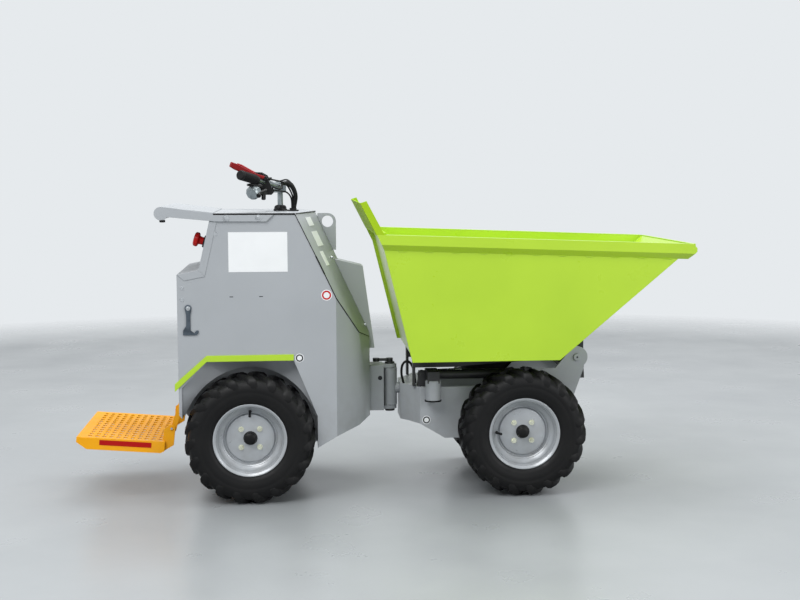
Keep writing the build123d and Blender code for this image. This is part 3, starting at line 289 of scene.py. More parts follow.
@dataclass(frozen=True)
class Metal:
    """Bare, plated or turned metal.

    Args:
        name: The material's name.
        slot: The record's slot; not used.
        colour: Screen colour.
        stain: Screen colour of the dull patches.
        rough: Least and most roughness.
    """

    name: str
    slot: str
    colour: Colour
    stain: Colour
    rough: tuple[float, float] = (0.22, 0.4)

    def material(self) -> bpy.types.Material:
        """Makes the material.

        Returns:
            The material.
        """
        desk = Desk(self.name)
        patch = desk.spread(desk.noise(38.0, 5.0), 0.45, 0.75)
        marks = desk.noise(160.0, 5.0)
        return desk.finish(
            Base_Color=desk.mix(patch, linear(*self.colour), linear(*self.stain)),
            Roughness=desk.spread(marks, 0.3, 0.7, *self.rough),
            Normal=desk.relief(marks, 0.00012, 0.5), Metallic=1.0)


@dataclass(frozen=True)
class Moulding:
    """Moulded rubber or plastic.

    Args:
        name: The material's name.
        slot: The record's slot; not used.
        colour: Screen colour.
        bloom: Screen colour of the pale bloom or dust on it.
        rough: Least and most roughness.
        grain: Depth of the moulded grain, in metres.
        grain_scale: Grains to a metre.
        bloom_share: Share of bloom where it is strongest.
        specular: Strength of its shine.
    """

    name: str
    slot: str
    colour: Colour
    bloom: Colour
    rough: tuple[float, float] = (0.5, 0.7)
    grain: float = 0.0001
    grain_scale: float = 700.0
    bloom_share: float = 0.3
    specular: float = 0.22

    def material(self) -> bpy.types.Material:
        """Makes the material.

        Returns:
            The material.
        """
        desk = Desk(self.name)
        patch = desk.spread(desk.noise(11.0, 8.0), 0.4, 0.75, 0.0, self.bloom_share)
        grain = desk.relief(desk.noise(self.grain_scale, 2.0), self.grain, 0.6)
        return desk.finish(
            Base_Color=desk.mix(patch, linear(*self.colour), linear(*self.bloom)),
            Roughness=desk.spread(desk.noise(40.0, 4.0), 0.3, 0.7, *self.rough),
            Normal=desk.relief(desk.noise(60.0, 3.0), 0.0006, 0.25, grain), Specular_IOR_Level=self.specular)


class Coat(Enum):
    """The finishes of this machine."""

    GREY = Paint("grey_powder_coat", "body_grey", (168, 172, 176), (161, 165, 169), (0.36, 0.5), 0.08)
    # SHADOW_GREY is the body grey painted darker: painted shade on the low and recessed pieces.
    SHADOW_GREY = Paint("grey_painted_shade_coat", "body_grey", (158, 162, 166), (148, 152, 156), (0.45, 0.62))
    # The skip lime painted darker for the guard, as painted shade, and given little shine.
    SHADED_GUARD_LIME = Paint("lime_matt_painted_shade", "skip_lime", (164, 199, 36), (155, 189, 34), (0.5, 0.62),
                       specular=0.08,
                       dust=0.1)
    LIME = Paint("lime_gloss_paint", "skip_lime", (178, 214, 44), (171, 207, 40), (0.26, 0.38), 0.25,
                 dust=0.1)
    AMBER = Paint("amber_step_paint", "step_amber", (246, 172, 4), (236, 160, 2), (0.46, 0.6), specular=0.3,
                  dust=0.15)
    BLACK = Paint("black_chassis_paint", "frame_black", (34, 35, 37), (27, 28, 30), (0.4, 0.55), 0.0,
                  dust=0.3)
    SILVER = Paint("silver_wheel_paint", "rim_silver", (178, 182, 186), (166, 170, 174), (0.26, 0.4), 0.3,
                   0.25)
    STEEL = Metal("bright_steel", "bright_steel", (198, 201, 204), (150, 153, 156), (0.18, 0.34))
    BLUED = Metal("dark_latch_steel", "bright_steel", (92, 101, 110), (60, 66, 72), (0.3, 0.5))
    ZINC = Metal("yellow_zinc_plate", "bright_steel", (232, 233, 214), (190, 190, 166), (0.2, 0.36))
    CAST = Metal("cast_alloy", "bright_steel", (150, 158, 160), (112, 118, 120), (0.3, 0.5))
    TYRE = Moulding("tyre_rubber", "tyre_rubber", (13, 13, 14), (34, 33, 32), (0.42, 0.6), 0.0003, 260.0,
                    0.25)
    GRIP = Moulding("grip_rubber", "grip_rubber", (15, 15, 16), (34, 35, 36), (0.46, 0.62))
    PLASTIC = Moulding("black_plastic", "black_plastic", (12, 12, 13), (28, 29, 30), (0.34, 0.5))
    RED = Moulding("red_plastic", "red_plastic", (196, 22, 18), (160, 18, 16), (0.26, 0.4), 0.00003)
    LEVER_RED = Moulding("red_lever_coating", "lever_red", (140, 8, 16), (84, 8, 14), (0.24, 0.4), 0.00003)
    WHITE = Moulding("white_sign_film", "black_plastic", (236, 238, 239), (222, 224, 225), (0.28, 0.36),
                     0.00001)
    INK = Moulding("black_sign_film", "black_plastic", (32, 33, 36), (44, 45, 48), (0.3, 0.4), 0.00001)
    REFLECTOR = Moulding("red_reflective_strip", "red_plastic", (176, 8, 6), (156, 6, 6), (0.3, 0.4), 0.0001,
                         420.0)


MATERIALS = {coat: coat.value.material() for coat in Coat}


# ---------------------------------------------------------------------------
# Meshes
# ---------------------------------------------------------------------------
@contextmanager
def reworking(mesh: bpy.types.Mesh) -> Iterator[bmesh.types.BMesh]:
    """Opens a mesh for changes, then smooths it, keeps its sharp folds and writes it back.

    Args:
        mesh: The mesh.
    Returns:
        Its form, open for changes.
    """
    form = bmesh.new()
    form.from_mesh(mesh)
    yield form
    for face in form.faces:
        face.smooth = True
    for edge in form.edges:
        edge.smooth = not (len(edge.link_faces) == 2 and edge.calc_face_angle(0.0) > SHARP_FOLD)
    form.to_mesh(mesh)
    form.free()


def plain_mesh(name: str, points: Path, edges: Sequence = (), faces: Sequence = ()) -> bpy.types.Mesh:
    """A mesh of points in the frame's metres, with edges or faces between them.

    Args:
        name: The mesh's name.
        points: Its points.
        edges: Pairs of point numbers.
        faces: Rings of point numbers.
    Returns:
        The mesh.
    """
    mesh = bpy.data.meshes.new(name)
    mesh.from_pydata(points, edges, faces)
    return mesh


def added(name: str, data: bpy.types.ID) -> bpy.types.Object:
    """A new object in the scene.

    Args:
        name: The object's name.
        data: Its mesh, lamp or camera.
    Returns:
        The object.
    """
    item = bpy.data.objects.new(name, data)
    bpy.context.scene.collection.objects.link(item)
    return item


def settle(mesh: bpy.types.Mesh, name: str, coat: Coat, body: Body,
           nodes: Iterable[str] = (), edge: float = 0.0, ends: tuple[Point, ...] = ()) -> None:
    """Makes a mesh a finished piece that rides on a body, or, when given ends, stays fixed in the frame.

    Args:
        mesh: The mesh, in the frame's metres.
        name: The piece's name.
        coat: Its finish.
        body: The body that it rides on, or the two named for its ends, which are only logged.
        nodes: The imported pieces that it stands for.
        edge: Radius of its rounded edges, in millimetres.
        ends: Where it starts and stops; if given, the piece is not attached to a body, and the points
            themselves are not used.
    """
    piece = added(name, mesh)
    mesh.materials.clear()
    mesh.materials.append(MATERIALS[coat])
    if edge:
        bevel = piece.modifiers.new("rounded_edges", "BEVEL")
        bevel.width, bevel.segments = edge * MM, 2
        bevel.limit_method, bevel.angle_limit = "ANGLE", BEVEL_FOLD
        bevel.harden_normals = True
    if ends:
        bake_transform(piece)
    else:
        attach(piece, body)
    if nodes:
        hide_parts(*nodes)
    LOG.info("%s: %d faces, %s, on %s", name, len(mesh.polygons), coat.value.name, body)


def dress(coat: Coat, edge: float, *nodes: str) -> None:
    """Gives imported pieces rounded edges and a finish.

    Args:
        coat: Their finish.
        edge: Radius of their edges, in millimetres.
        nodes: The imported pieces.
    """
    for node in nodes:
        name = node + "_finished"
        mesh = frame["nodes"][node].data.copy()
        mesh.name = name
        with reworking(mesh) as form:
            bmesh.ops.remove_doubles(form, verts=form.verts, dist=PACKED_MERGE)
            bmesh.ops.dissolve_limit(form, angle_limit=FLAT_FOLD, verts=form.verts, edges=form.edges)
            bmesh.ops.dissolve_degenerate(form, edges=form.edges, dist=PACKED_MERGE)
        settle(mesh, name, coat, BODY_OF[node], (node,), edge)


def headings(path: Path) -> list[tuple[Vector, Vector]]:
    """Each point of a path with the direction that the path has there.

    Args:
        path: The points.
    Returns:
        A point and a unit direction for each.
    """
    line = [Vector(point) for point in path]
    last = len(line) - 1
    return [(point, (line[min(i + 1, last)] - line[max(i - 1, 0)]).normalized()) for i,
            point in enumerate(line)]


class Shape:
    """Closed forms gathered into one mesh, in millimetres from the articulation pin."""

    def __init__(self) -> None:
        """Starts empty."""
        self.points: list[Vector] = []
        self.faces: list[tuple[int, ...]] = []

    def loft(self, rings: Sequence[Path], closed: bool = False) -> "Shape":
        """Joins rings of points into a skin.

        Args:
            rings: The rings, each with as many points.
            closed: Whether the last ring meets the first; if not, both ends are capped.
        Returns:
            The same shape.
        """
        first, count, total = len(self.points), len(rings[0]), len(rings)
        for ring in rings:
            self.points.extend(Vector(point) for point in ring)
        for i in range(total if closed else total - 1):
            low, high = first + i * count, first + ((i + 1) % total) * count
            for j in range(count):
                k = (j + 1) % count
                self.faces.append((low + j, low + k, high + k, high + j))
        if not closed:
            last = first + (total - 1) * count
            self.faces.append(tuple(first + j for j in reversed(range(count))))
            self.faces.append(tuple(last + j for j in range(count)))
        return self

    def turn(self, profile: Profile, centre: Point, axis: Point, steps: int = 48) -> "Shape":
        """Turns a closed outline about an axis.

        Args:
            profile: Radius and distance along the axis of each point.
            centre: Where the distance is zero.
            axis: Direction of the axis.
            steps: Steps round it.
        Returns:
            The same shape.
        """
        along = Vector(axis).normalized()
        across = along.orthogonal().normalized()
        up = along.cross(across)
        rings = []
        for i in range(steps):
            out = across * cos(2 * pi * i / steps) + up * sin(2 * pi * i / steps)
            rings.append([Vector(centre) + out * radius + along * reach for radius, reach in profile])
        return self.loft(rings, closed=True)

    def rod(self, start: Point, end: Point, radius: float, steps: int = 24) -> "Shape":
        """A round bar between two points, with its ends rounded off.

        Args:
            start: Middle of one end.
            end: Middle of the other.
            radius: Its radius.
            steps: Steps round it.
        Returns:
            The same shape.
        """
        length = (Vector(end) - Vector(start)).length
        cut = min(0.8, radius / 2)
        profile = [(0, 0), (radius - cut, 0), (radius, cut),
                   (radius, length - cut), (radius - cut, length), (0, length)]
        return self.turn(profile, start, Vector(end) - Vector(start), steps)

    def tube(self, path: Path, radius: Union[float, Sequence[float]], steps: int = 16) -> "Shape":
        """A round bar along a path, of one radius or one for each point.

        Args:
            path: Its middle line.
            radius: One radius, or one for each point.
            steps: Steps round it.
        Returns:
            The same shape.
        """
        radii = radius if isinstance(radius, Sequence) else [radius] * len(path)
        side, rings = (Vector(path[1]) - Vector(path[0])).orthogonal().normalized(), []
        for i, (point, along) in enumerate(headings(path)):
            side = (side - along * side.dot(along)).normalized()
            up = along.cross(side)
            rings.append([point + (side * cos(2 * pi * j / steps) + up * sin(2 * pi * j / steps)) * radii[i]
                          for j in range(steps)])
        return self.loft(rings)

    def strap(self, path: Path, heights: Sequence[float], thick: float) -> "Shape":
        """An upright flat bar along a path, with a height for each point and rounded corners.

        Args:
            path: Its middle line.
            heights: Its height at each point.
            thick: Its thickness.
        Returns:
            The same shape.
        """
        rings = []
        for i, (point, along) in enumerate(headings(path)):
            flat = along.cross(Vector(UP)).normalized()
            rise, h, t = flat.cross(along), heights[i] / 2, thick / 2
            cut = min(h, t) * 0.6
            outline = [(-t, cut - h), (cut - t, -h), (t - cut, -h), (t, cut - h),
                       (t, h - cut), (t - cut, h), (cut - t, h), (-t, h - cut)]
            rings.append([point + flat * a + rise * b for a, b in outline])
        return self.loft(rings)

    def side_plate(self, outline: Profile, y0: float, y1: float) -> "Shape":
        """An X-Z outline given thickness between two Y values."""
        return self.loft([[(x, y, z) for x, z in outline] for y in (y0, y1)])

    def mesh(self, name: str) -> bpy.types.Mesh:
        """The gathered forms as one mesh, faces outwards.

        Args:
            name: The mesh's name.
        Returns:
            The mesh, in the frame's metres.
        """
        mesh = plain_mesh(name, [place(*point) for point in self.points], (), self.faces)
        with reworking(mesh) as form:
            bmesh.ops.remove_doubles(form, verts=form.verts, dist=OWN_MERGE)
            bmesh.ops.dissolve_degenerate(form, edges=form.edges, dist=OWN_MERGE)
            bmesh.ops.recalc_face_normals(form, faces=form.faces)
        return mesh

    def fit(self, name: str, coat: Coat, body: Body, nodes: Iterable[str] = (),
            edge: float = 0.0, ends: tuple[Point, ...] = ()) -> None:
        """Makes the gathered forms a finished piece on a body, or one fixed in the frame when given ends."""
        settle(self.mesh(name), name, coat, body, nodes, edge, ends)


def lathe(name: str, coat: Coat, body: str, profile: Profile, centre: Point,
          axis: Point = UP, steps: int = 40, nodes: Iterable[str] = (), edge: float = 0.0) -> None:
    """Turns one closed outline about an axis into a finished piece."""
    Shape().turn(profile, centre, axis, steps).fit(name, coat, body, nodes, edge)


def flowing(points: Path, steps: int) -> list[Vector]:
    """A smooth line through points, with several steps between each two.

    Args:
        points: The points that it runs through.
        steps: Steps between each two.
    Returns:
        Points of the line.
    """
    ends = [Vector(point) for point in points]
    ends = [ends[0] * 2 - ends[1]] + ends + [ends[-1] * 2 - ends[-2]]
    line = []
    for i in range(1, len(ends) - 2):
        a, b, c, d = ends[i - 1:i + 3]
        for j in range(steps):
            t = j / steps
            line.append(0.5 * (b * 2 + (c - a) * t + (a * 2 - b * 5 + c * 4 - d) * t ** 2
                               + (b * 3 - a - c * 3 + d) * t ** 3))
    return line + [ends[-2]]


# ---------------------------------------------------------------------------
# Repeated parts, grown by geometry nodes
# ---------------------------------------------------------------------------
class Grower(Nodes):
    """A geometry-node tree with named inputs that turns a carrier mesh into repeated parts."""

    def __init__(self, name: str, **inputs: object) -> None:
        """Starts the tree.

        Args:
            name: The tree's name.
            inputs: The value of each input, or the kind of socket of one that starts empty. An
                underscore in a name stands for a space.
        """
        super().__init__(bpy.data.node_groups.new(name, "GeometryNodeTree"))
        kinds = {int: "Int", float: "Float", tuple: "Vector"}
        face = self.tree.interface
        face.new_socket("Carrier", in_out="INPUT", socket_type="NodeSocketGeometry")
        for label, value in {**inputs, "Material": "Material"}.items():
            kind = kinds.get(type(value), value)
            socket = face.new_socket(label.replace("_", " "), in_out="INPUT", socket_type=f"NodeSocket{kind}")
            if type(value) in kinds:
                socket.default_value = value
        face.new_socket("Parts", in_out="OUTPUT", socket_type="NodeSocketGeometry")
        self.given = self.tree.nodes.new("NodeGroupInput").outputs

    def spin(self, axis: Point, angle: Socket) -> Socket:
        """A rotation about an axis."""
        return self.get("FunctionNodeAxisAngleToRotation", {"Axis": axis, "Angle": angle})

    def draw(self, low: float, high: float, seed: int) -> Socket:
        """A random number for each part, the same on each run."""
        return self.get("FunctionNodeRandomValue", {2: low, 3: high, "Seed": seed}, 1, data_type="FLOAT")

    def line(self, pitch: Socket) -> Socket:
        """The carrier's lines, cut into even steps."""
        curve = self.get("GeometryNodeMeshToCurve", {"Mesh": self.given["Carrier"]})
        return self.get("GeometryNodeResampleCurve", {"Curve": curve, "Length": pitch}, mode="LENGTH")

    def strew(self, points: Socket, part: Socket, **turn: Socket) -> "Grower":
        """Sets a part on each point, turned or sized as told, and ends the tree."""
        return self.close(self.get("GeometryNodeInstanceOnPoints",
                                   {"Points": points, "Instance": part, **turn}))

    def close(self, parts: Socket) -> "Grower":
        """Realizes the parts, sets their material and ends the tree.

        Args:
            parts: The parts, as instances or as a mesh.
        Returns:
            The finished tree.
        """
        real = self.get("GeometryNodeRealizeInstances", {"Geometry": parts})
        done = self.get("GeometryNodeSetMaterial", {"Geometry": real, "Material": self.given["Material"]})
        self.add("NodeGroupOutput", {"Parts": done})
        return self

    def grow(self, carrier: bpy.types.Mesh, name: str, coat: Coat, body: str,
             values: dict[str, object]) -> None:
        """Grows the parts on a carrier and makes them a finished piece.

        Args:
            carrier: Points or a line, in the frame's metres.
            name: The piece's name.
            coat: Its finish.
            body: The body that it rides on.
            values: The tree's inputs by name.
        """
        holder = added(name + "_carrier", carrier)
        modifier = holder.modifiers.new("grow", "NODES")
        modifier.node_group = self.tree
        values = {**values, "Material": MATERIALS[coat]}
        for item in self.tree.interface.items_tree:
            if item.in_out == "INPUT" and item.name in values:
                modifier[item.identifier] = values[item.name]
        bpy.context.view_layer.update()
        grown = holder.evaluated_get(bpy.context.evaluated_depsgraph_get())
        mesh = bpy.data.meshes.new_from_object(grown)
        bpy.data.objects.remove(holder)
        with reworking(mesh):
            pass  # Shaded only.
        settle(mesh, name, coat, body)


def fastener_tree() -> Grower:
    """Washers with heads on them, one at each point, square to its facing.

    Returns:
        The tree, which takes the heads' and washers' sizes in metres.
    """
    grower = Grower("fasteners", Head_Width=0.013, Head_Height=0.006, Washer_Width=0.02, Sides=6)
    given = grower.given
    width, height, washer = given["Head Width"], given["Head Height"], given["Washer Width"]
    foot = grower.get("GeometryNodeMeshCylinder", {
        "Vertices": 20, "Radius": grower.math("MULTIPLY", washer, 0.5),
        "Depth": grower.math("MULTIPLY", height, 0.5)})
    head = grower.get("GeometryNodeMeshCone", {
        "Vertices": given["Sides"], "Radius Bottom": grower.math("MULTIPLY", width, 0.5),
        "Radius Top": grower.math("MULTIPLY", width, 0.42), "Depth": height})
    part = grower.get("GeometryNodeJoinGeometry", {"Geometry": [foot, head]})
    facing = grower.get("GeometryNodeInputNamedAttribute", {"Name": "facing"}, "Attribute",
                        data_type="FLOAT_VECTOR")
    square = grower.get("FunctionNodeAlignRotationToVector", {"Vector": facing}, axis="Z")
    spin = grower.spin(UP, grower.draw(0.0, FASTENER_TURN, FASTENER_SEED))
    turned = grower.get("FunctionNodeRotateRotation", {"Rotation": square, "Rotate By": spin},
                        rotation_space="LOCAL")
    points = grower.get("GeometryNodeMeshToPoints", {"Mesh": given["Carrier"]})
    return grower.strew(points, part, Rotation=turned)


def bead_tree() -> Grower:
    """A weld bead: flattened drops that overlap along a line.

    Returns:
        The tree, which takes the width and the pitch of the drops.
    """
    grower = Grower("weld_bead", Bead_Width=0.006, Pitch=0.004)
    radius = grower.math("MULTIPLY", grower.given["Bead Width"], 0.5)
    drop = grower.get("GeometryNodeMeshIcoSphere", {"Radius": radius, "Subdivisions": 2})
    return grower.strew(grower.line(grower.given["Pitch"]), drop, Scale=grower.draw(*BEAD_SIZES, BEAD_SEED))


def lug_tree() -> Grower:
    """Tread lugs set evenly round an axle.

    Returns:
        The tree, which takes the lug, their number and the middle of the axle.
    """
    grower = Grower("tread_lugs", Lug="Object", Lug_Count=18, Axle_Centre=(0.0, 0.0, 0.25))
    given = grower.given
    lug = grower.get("GeometryNodeObjectInfo", {"Object": given["Lug"]}, "Geometry")
    ring = grower.get("GeometryNodePoints", {"Count": given["Lug Count"], "Position": given["Axle Centre"]})
    share = grower.math("DIVIDE", grower.get("GeometryNodeInputIndex", {}), given["Lug Count"])
    return grower.strew(ring, lug, Rotation=grower.spin((0, 1, 0), grower.math("MULTIPLY", share, 2 * pi)))


def sleeve_tree() -> Grower:
    """A ribbed sleeve along a line.

    Returns:
        The tree, which takes the width and the pitch and depth of the ribs.
    """
    grower = Grower("ribbed_sleeve", Width=0.014, Rib_Pitch=0.004, Rib_Depth=0.12)
    given = grower.given
    even = grower.line(grower.math("MULTIPLY", given["Rib Pitch"], 0.25))
    phase = grower.math("MULTIPLY", grower.get("GeometryNodeInputIndex", {}), pi / 2)
    depth = grower.math("MULTIPLY_ADD", grower.math("SINE", phase), given["Rib Depth"], 1.0)
    swell = grower.get("GeometryNodeSetCurveRadius", {"Curve": even, "Radius": depth})
    radius = grower.math("MULTIPLY", given["Width"], 0.5)
    section = grower.get("GeometryNodeCurvePrimitiveCircle", {"Resolution": 14, "Radius": radius}, "Curve")
    skin = grower.add("GeometryNodeCurveToMesh",
                      {"Curve": swell, "Profile Curve": section, "Fill Caps": True})
    if "Scale" in skin.inputs:
        grower.feed(skin, {"Scale": depth})
    return grower.close(skin.outputs[0])


FASTENERS = fastener_tree()
BEADS = bead_tree()
LUGS = lug_tree()
SLEEVES = sleeve_tree()


def line_mesh(name: str, lines: Sequence[Path]) -> bpy.types.Mesh:
    """A carrier of open lines, from points in millimetres off the pin.

    Args:
        name: The mesh's name.
        lines: The points of each line.
    Returns:
        The carrier.
    """
    points, edges = [], []
    for line in lines:
        edges += [(len(points) + i, len(points) + i + 1) for i in range(len(line) - 1)]
        points += [place(*point) for point in line]
    return plain_mesh(name, points, edges)


class Head(Enum):
    """Head width, head height, washer width and sides of each fastener."""

    WHEEL_BOLT = (18.0, 11.0, 22.0, 6)
    RAIL_BOLT = (17.0, 5.0, 25.0, 16)
    SMALL_BOLT = (11.0, 5.0, 15.0, 6)
    SCREW = (12.0, 3.6, 17.0, 16)


def fasten(name: str, head: Head, coat: Coat, body: str, places: Sequence[tuple[Point, Point]]) -> None:
    """Fits fasteners of one kind.

    Args:
        name: The piece's name.
        head: The kind.
        coat: Its finish.
        body: The body that it rides on.
        places: Foot and facing of each fastener.
    """
    carrier = plain_mesh(name + "_points", [place(*foot) for foot, _ in places])
    facing = carrier.attributes.new("facing", "FLOAT_VECTOR", "POINT")
    for item, (_, direction) in zip(facing.data, places):
        item.vector = Vector(direction).normalized()
    width, height, washer, sides = head.value
    FASTENERS.grow(carrier, name, coat, body, {
        "Head Width": width * MM, "Head Height": height * MM, "Washer Width": washer * MM, "Sides": sides})


def weld(name: str, coat: Coat, body: str, lines: Sequence[Path], width: float) -> None:
    """Lays weld beads along lines."""
    BEADS.grow(line_mesh(name + "_line", lines), name, coat, body, {
        "Bead Width": width * MM, "Pitch": width * BEAD_STEP * MM})


def sleeve(name: str, coat: Coat, body: str, line: Path, width: float, pitch: float) -> None:
    """Draws a ribbed sleeve along a line."""
    SLEEVES.grow(line_mesh(name + "_line", [line]), name, coat, body,
                 {"Width": width * MM, "Rib Pitch": pitch * MM})


# ---------------------------------------------------------------------------
# Wheels
# ---------------------------------------------------------------------------
@dataclass
class Wheel:
    """A lugged tyre on a silver steel rim with its hub cap, bolts and valve."""

    end: str
    hand: str
    valve_angle: float
    lug_count: int = 19
    disc_face: float = 28.0
    bolt_circle: float = 50.0
    steps: int = 96
    centre: Vector = field(init=False)
    side: float = field(init=False)
    tail: str = field(init=False)
    body: str = field(init=False)

    def __post_init__(self) -> None:
        """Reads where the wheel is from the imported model."""
        self.tail = f"{self.end}_{self.hand}"
        self.body = f"wheel_{self.tail}"
        self.centre = sum(corners(f"tyre_{self.tail}"), Vector()) / 2
        self.side = dict(SIDES)[self.hand]

    def casing(self) -> list[tuple[float, float]]:
        """Outline of the tyre's casing: radius and distance from its middle plane.

        Returns:
            The closed outline.
        """
        half = [(127.2, 74), (139, 76.5), (142, 79.5), (146, 84), (152, 87.5), (160, 90),
                (163, 90.2), (166, 91.4), (184, 92.6), (188, 91.8), (191, 92.8), (203, 92),
                (214, 89.5), (223, 84), (230, 75), (234, 62), (236.5, 35), (237, 0)]
        inner = [(225, 40), (221, 66), (206, 80), (180, 82), (150, 78), (127.2, 64)]
        outer = half + [(radius, -reach) for radius, reach in reversed(half[:-1])]
        return outer + [(radius, -reach) for radius, reach in reversed(inner)] + inner

    def lug(self) -> Shape:
        """One pair of bar lugs, staggered by half a pitch, about the origin of the axle.

        Returns:
            The two bars.
        """
        shape = Shape()
        stations = [(-6, 0.00, 233, 249, 10), (22, 0.03, 233, 249.5, 11),
                    (52, 0.09, 231, 249, 12), (74, 0.17, 227, 245.5, 13.5),
                    (87, 0.22, 217, 236, 14.5), (92.6, 0.24, 207, 223, 14), (92.8, 0.25, 200, 205, 10)]
        for hand, start in ((-1, pi / self.lug_count), (1, 0)):
            rings = []
            for reach, lead, low, high, half in stations:
                ring = []
                foot, crown = half * 1.35, half * 0.82
                for radius, width in ((low, foot), (high, crown), (high, -crown), (low, -foot)):
                    angle = start + lead + width / radius
                    out = reach if radius == high else min(reach, 88)
                    ring.append((radius * sin(angle), hand * out, radius * cos(angle)))
                rings.append(ring)
            shape.loft(rings)
        return shape

    def tyre(self) -> None:
        """Turns the casing and sets the lugs round it."""
        lug = self.lug()
        mesh = plain_mesh("lug", [point * MM for point in lug.points], (), lug.faces)
        with reworking(mesh) as form:
            bmesh.ops.recalc_face_normals(form, faces=form.faces)
        holder = bpy.data.objects.new("lug", mesh)
        LUGS.grow(plain_mesh("axle_point", [(0, 0, 0)]), f"tread_{self.tail}", Coat.TYRE, self.body, {
            "Lug": holder, "Lug Count": self.lug_count, "Axle Centre": place(*self.centre)})
        bpy.data.objects.remove(holder)
        lathe(f"casing_{self.tail}", Coat.TYRE, self.body, self.casing(), self.centre, (0, 1, 0), self.steps,
              (f"tyre_{self.tail}",))

    def rim(self) -> None:
        """Turns the stepped rim, its dished disc and its hub."""
        axis = (0, self.side, 0)
        well = [(140, 81), (141, 79), (140, 76), (136, 75), (127, 72.5), (127, 47), (112, 37)]
        back = [(108.5, 39), (113, 42.5), (118, 47.5), (121.5, 52), (121, 56), (122, 60),
                (123, 66), (125, 71.5), (129, 75.2), (133, 78.4), (136.5, 80.8)]
        barrel = well + [(r, -h) for r, h in reversed(well)] + [(r, -h) for r, h in reversed(back)] + back
        rim = Shape().turn(barrel, self.centre, axis, self.steps)
        disc = [(0, 22), (86, 22), (92, 12), (102, 12), (108.4, 24), (108.6, 34), (104.5, 31),
                (100.5, 17), (96, 17), (92, 26.5), (89, 28), (0, 28)]
        rim.turn(disc, self.centre, axis, self.steps)
        rim.turn([(0, -40), (38, -40), (38, 22.5), (0, 22.5)], self.centre, axis, 32)
        rim.fit(f"rim_{self.tail}_finished", Coat.SILVER, self.body, (f"rim_{self.tail}",), 0.8)

    @staticmethod
    def spoke(angle: float) -> Vector:
        """The direction from the axle at an angle in degrees."""
        return Vector((cos(radians(angle)), 0, sin(radians(angle))))

    def hub(self) -> None:
        """Fits the hub cap, the wheel bolts and the valve."""
        out = Vector((0, self.side, 0))
        cap = [(0, 27.5), (27, 27.5), (27, 30.5), (24.5, 31.5), (24, 44), (21.5, 49), (16, 52),
               (8, 53.5), (0, 53.8)]
        lathe(f"hub_cap_{self.tail}", Coat.PLASTIC, self.body, cap, self.centre, out)
        seat = self.centre + out * self.disc_face
        fasten(f"wheel_bolts_{self.tail}", Head.WHEEL_BOLT, Coat.ZINC, self.body,
               [(seat + self.spoke(angle) * self.bolt_circle, out) for angle in range(45, 360, 90)])
        spoke = self.spoke(self.valve_angle)
        root = self.centre + spoke * 106 + out * 36.0
        bend = root - spoke * 3 + out * 16.0
        tip = bend - spoke * 7 + out * 16.0
        Shape().tube([root, bend, tip], [6.5, 5, 4], 12).rod(tip, tip + (tip - bend) * 0.5, 5.2, 12).fit(
            f"valve_{self.tail}", Coat.PLASTIC, self.body)

    def build(self) -> None:
        """Makes the whole wheel."""
        self.tyre()
        self.rim()
        self.hub()


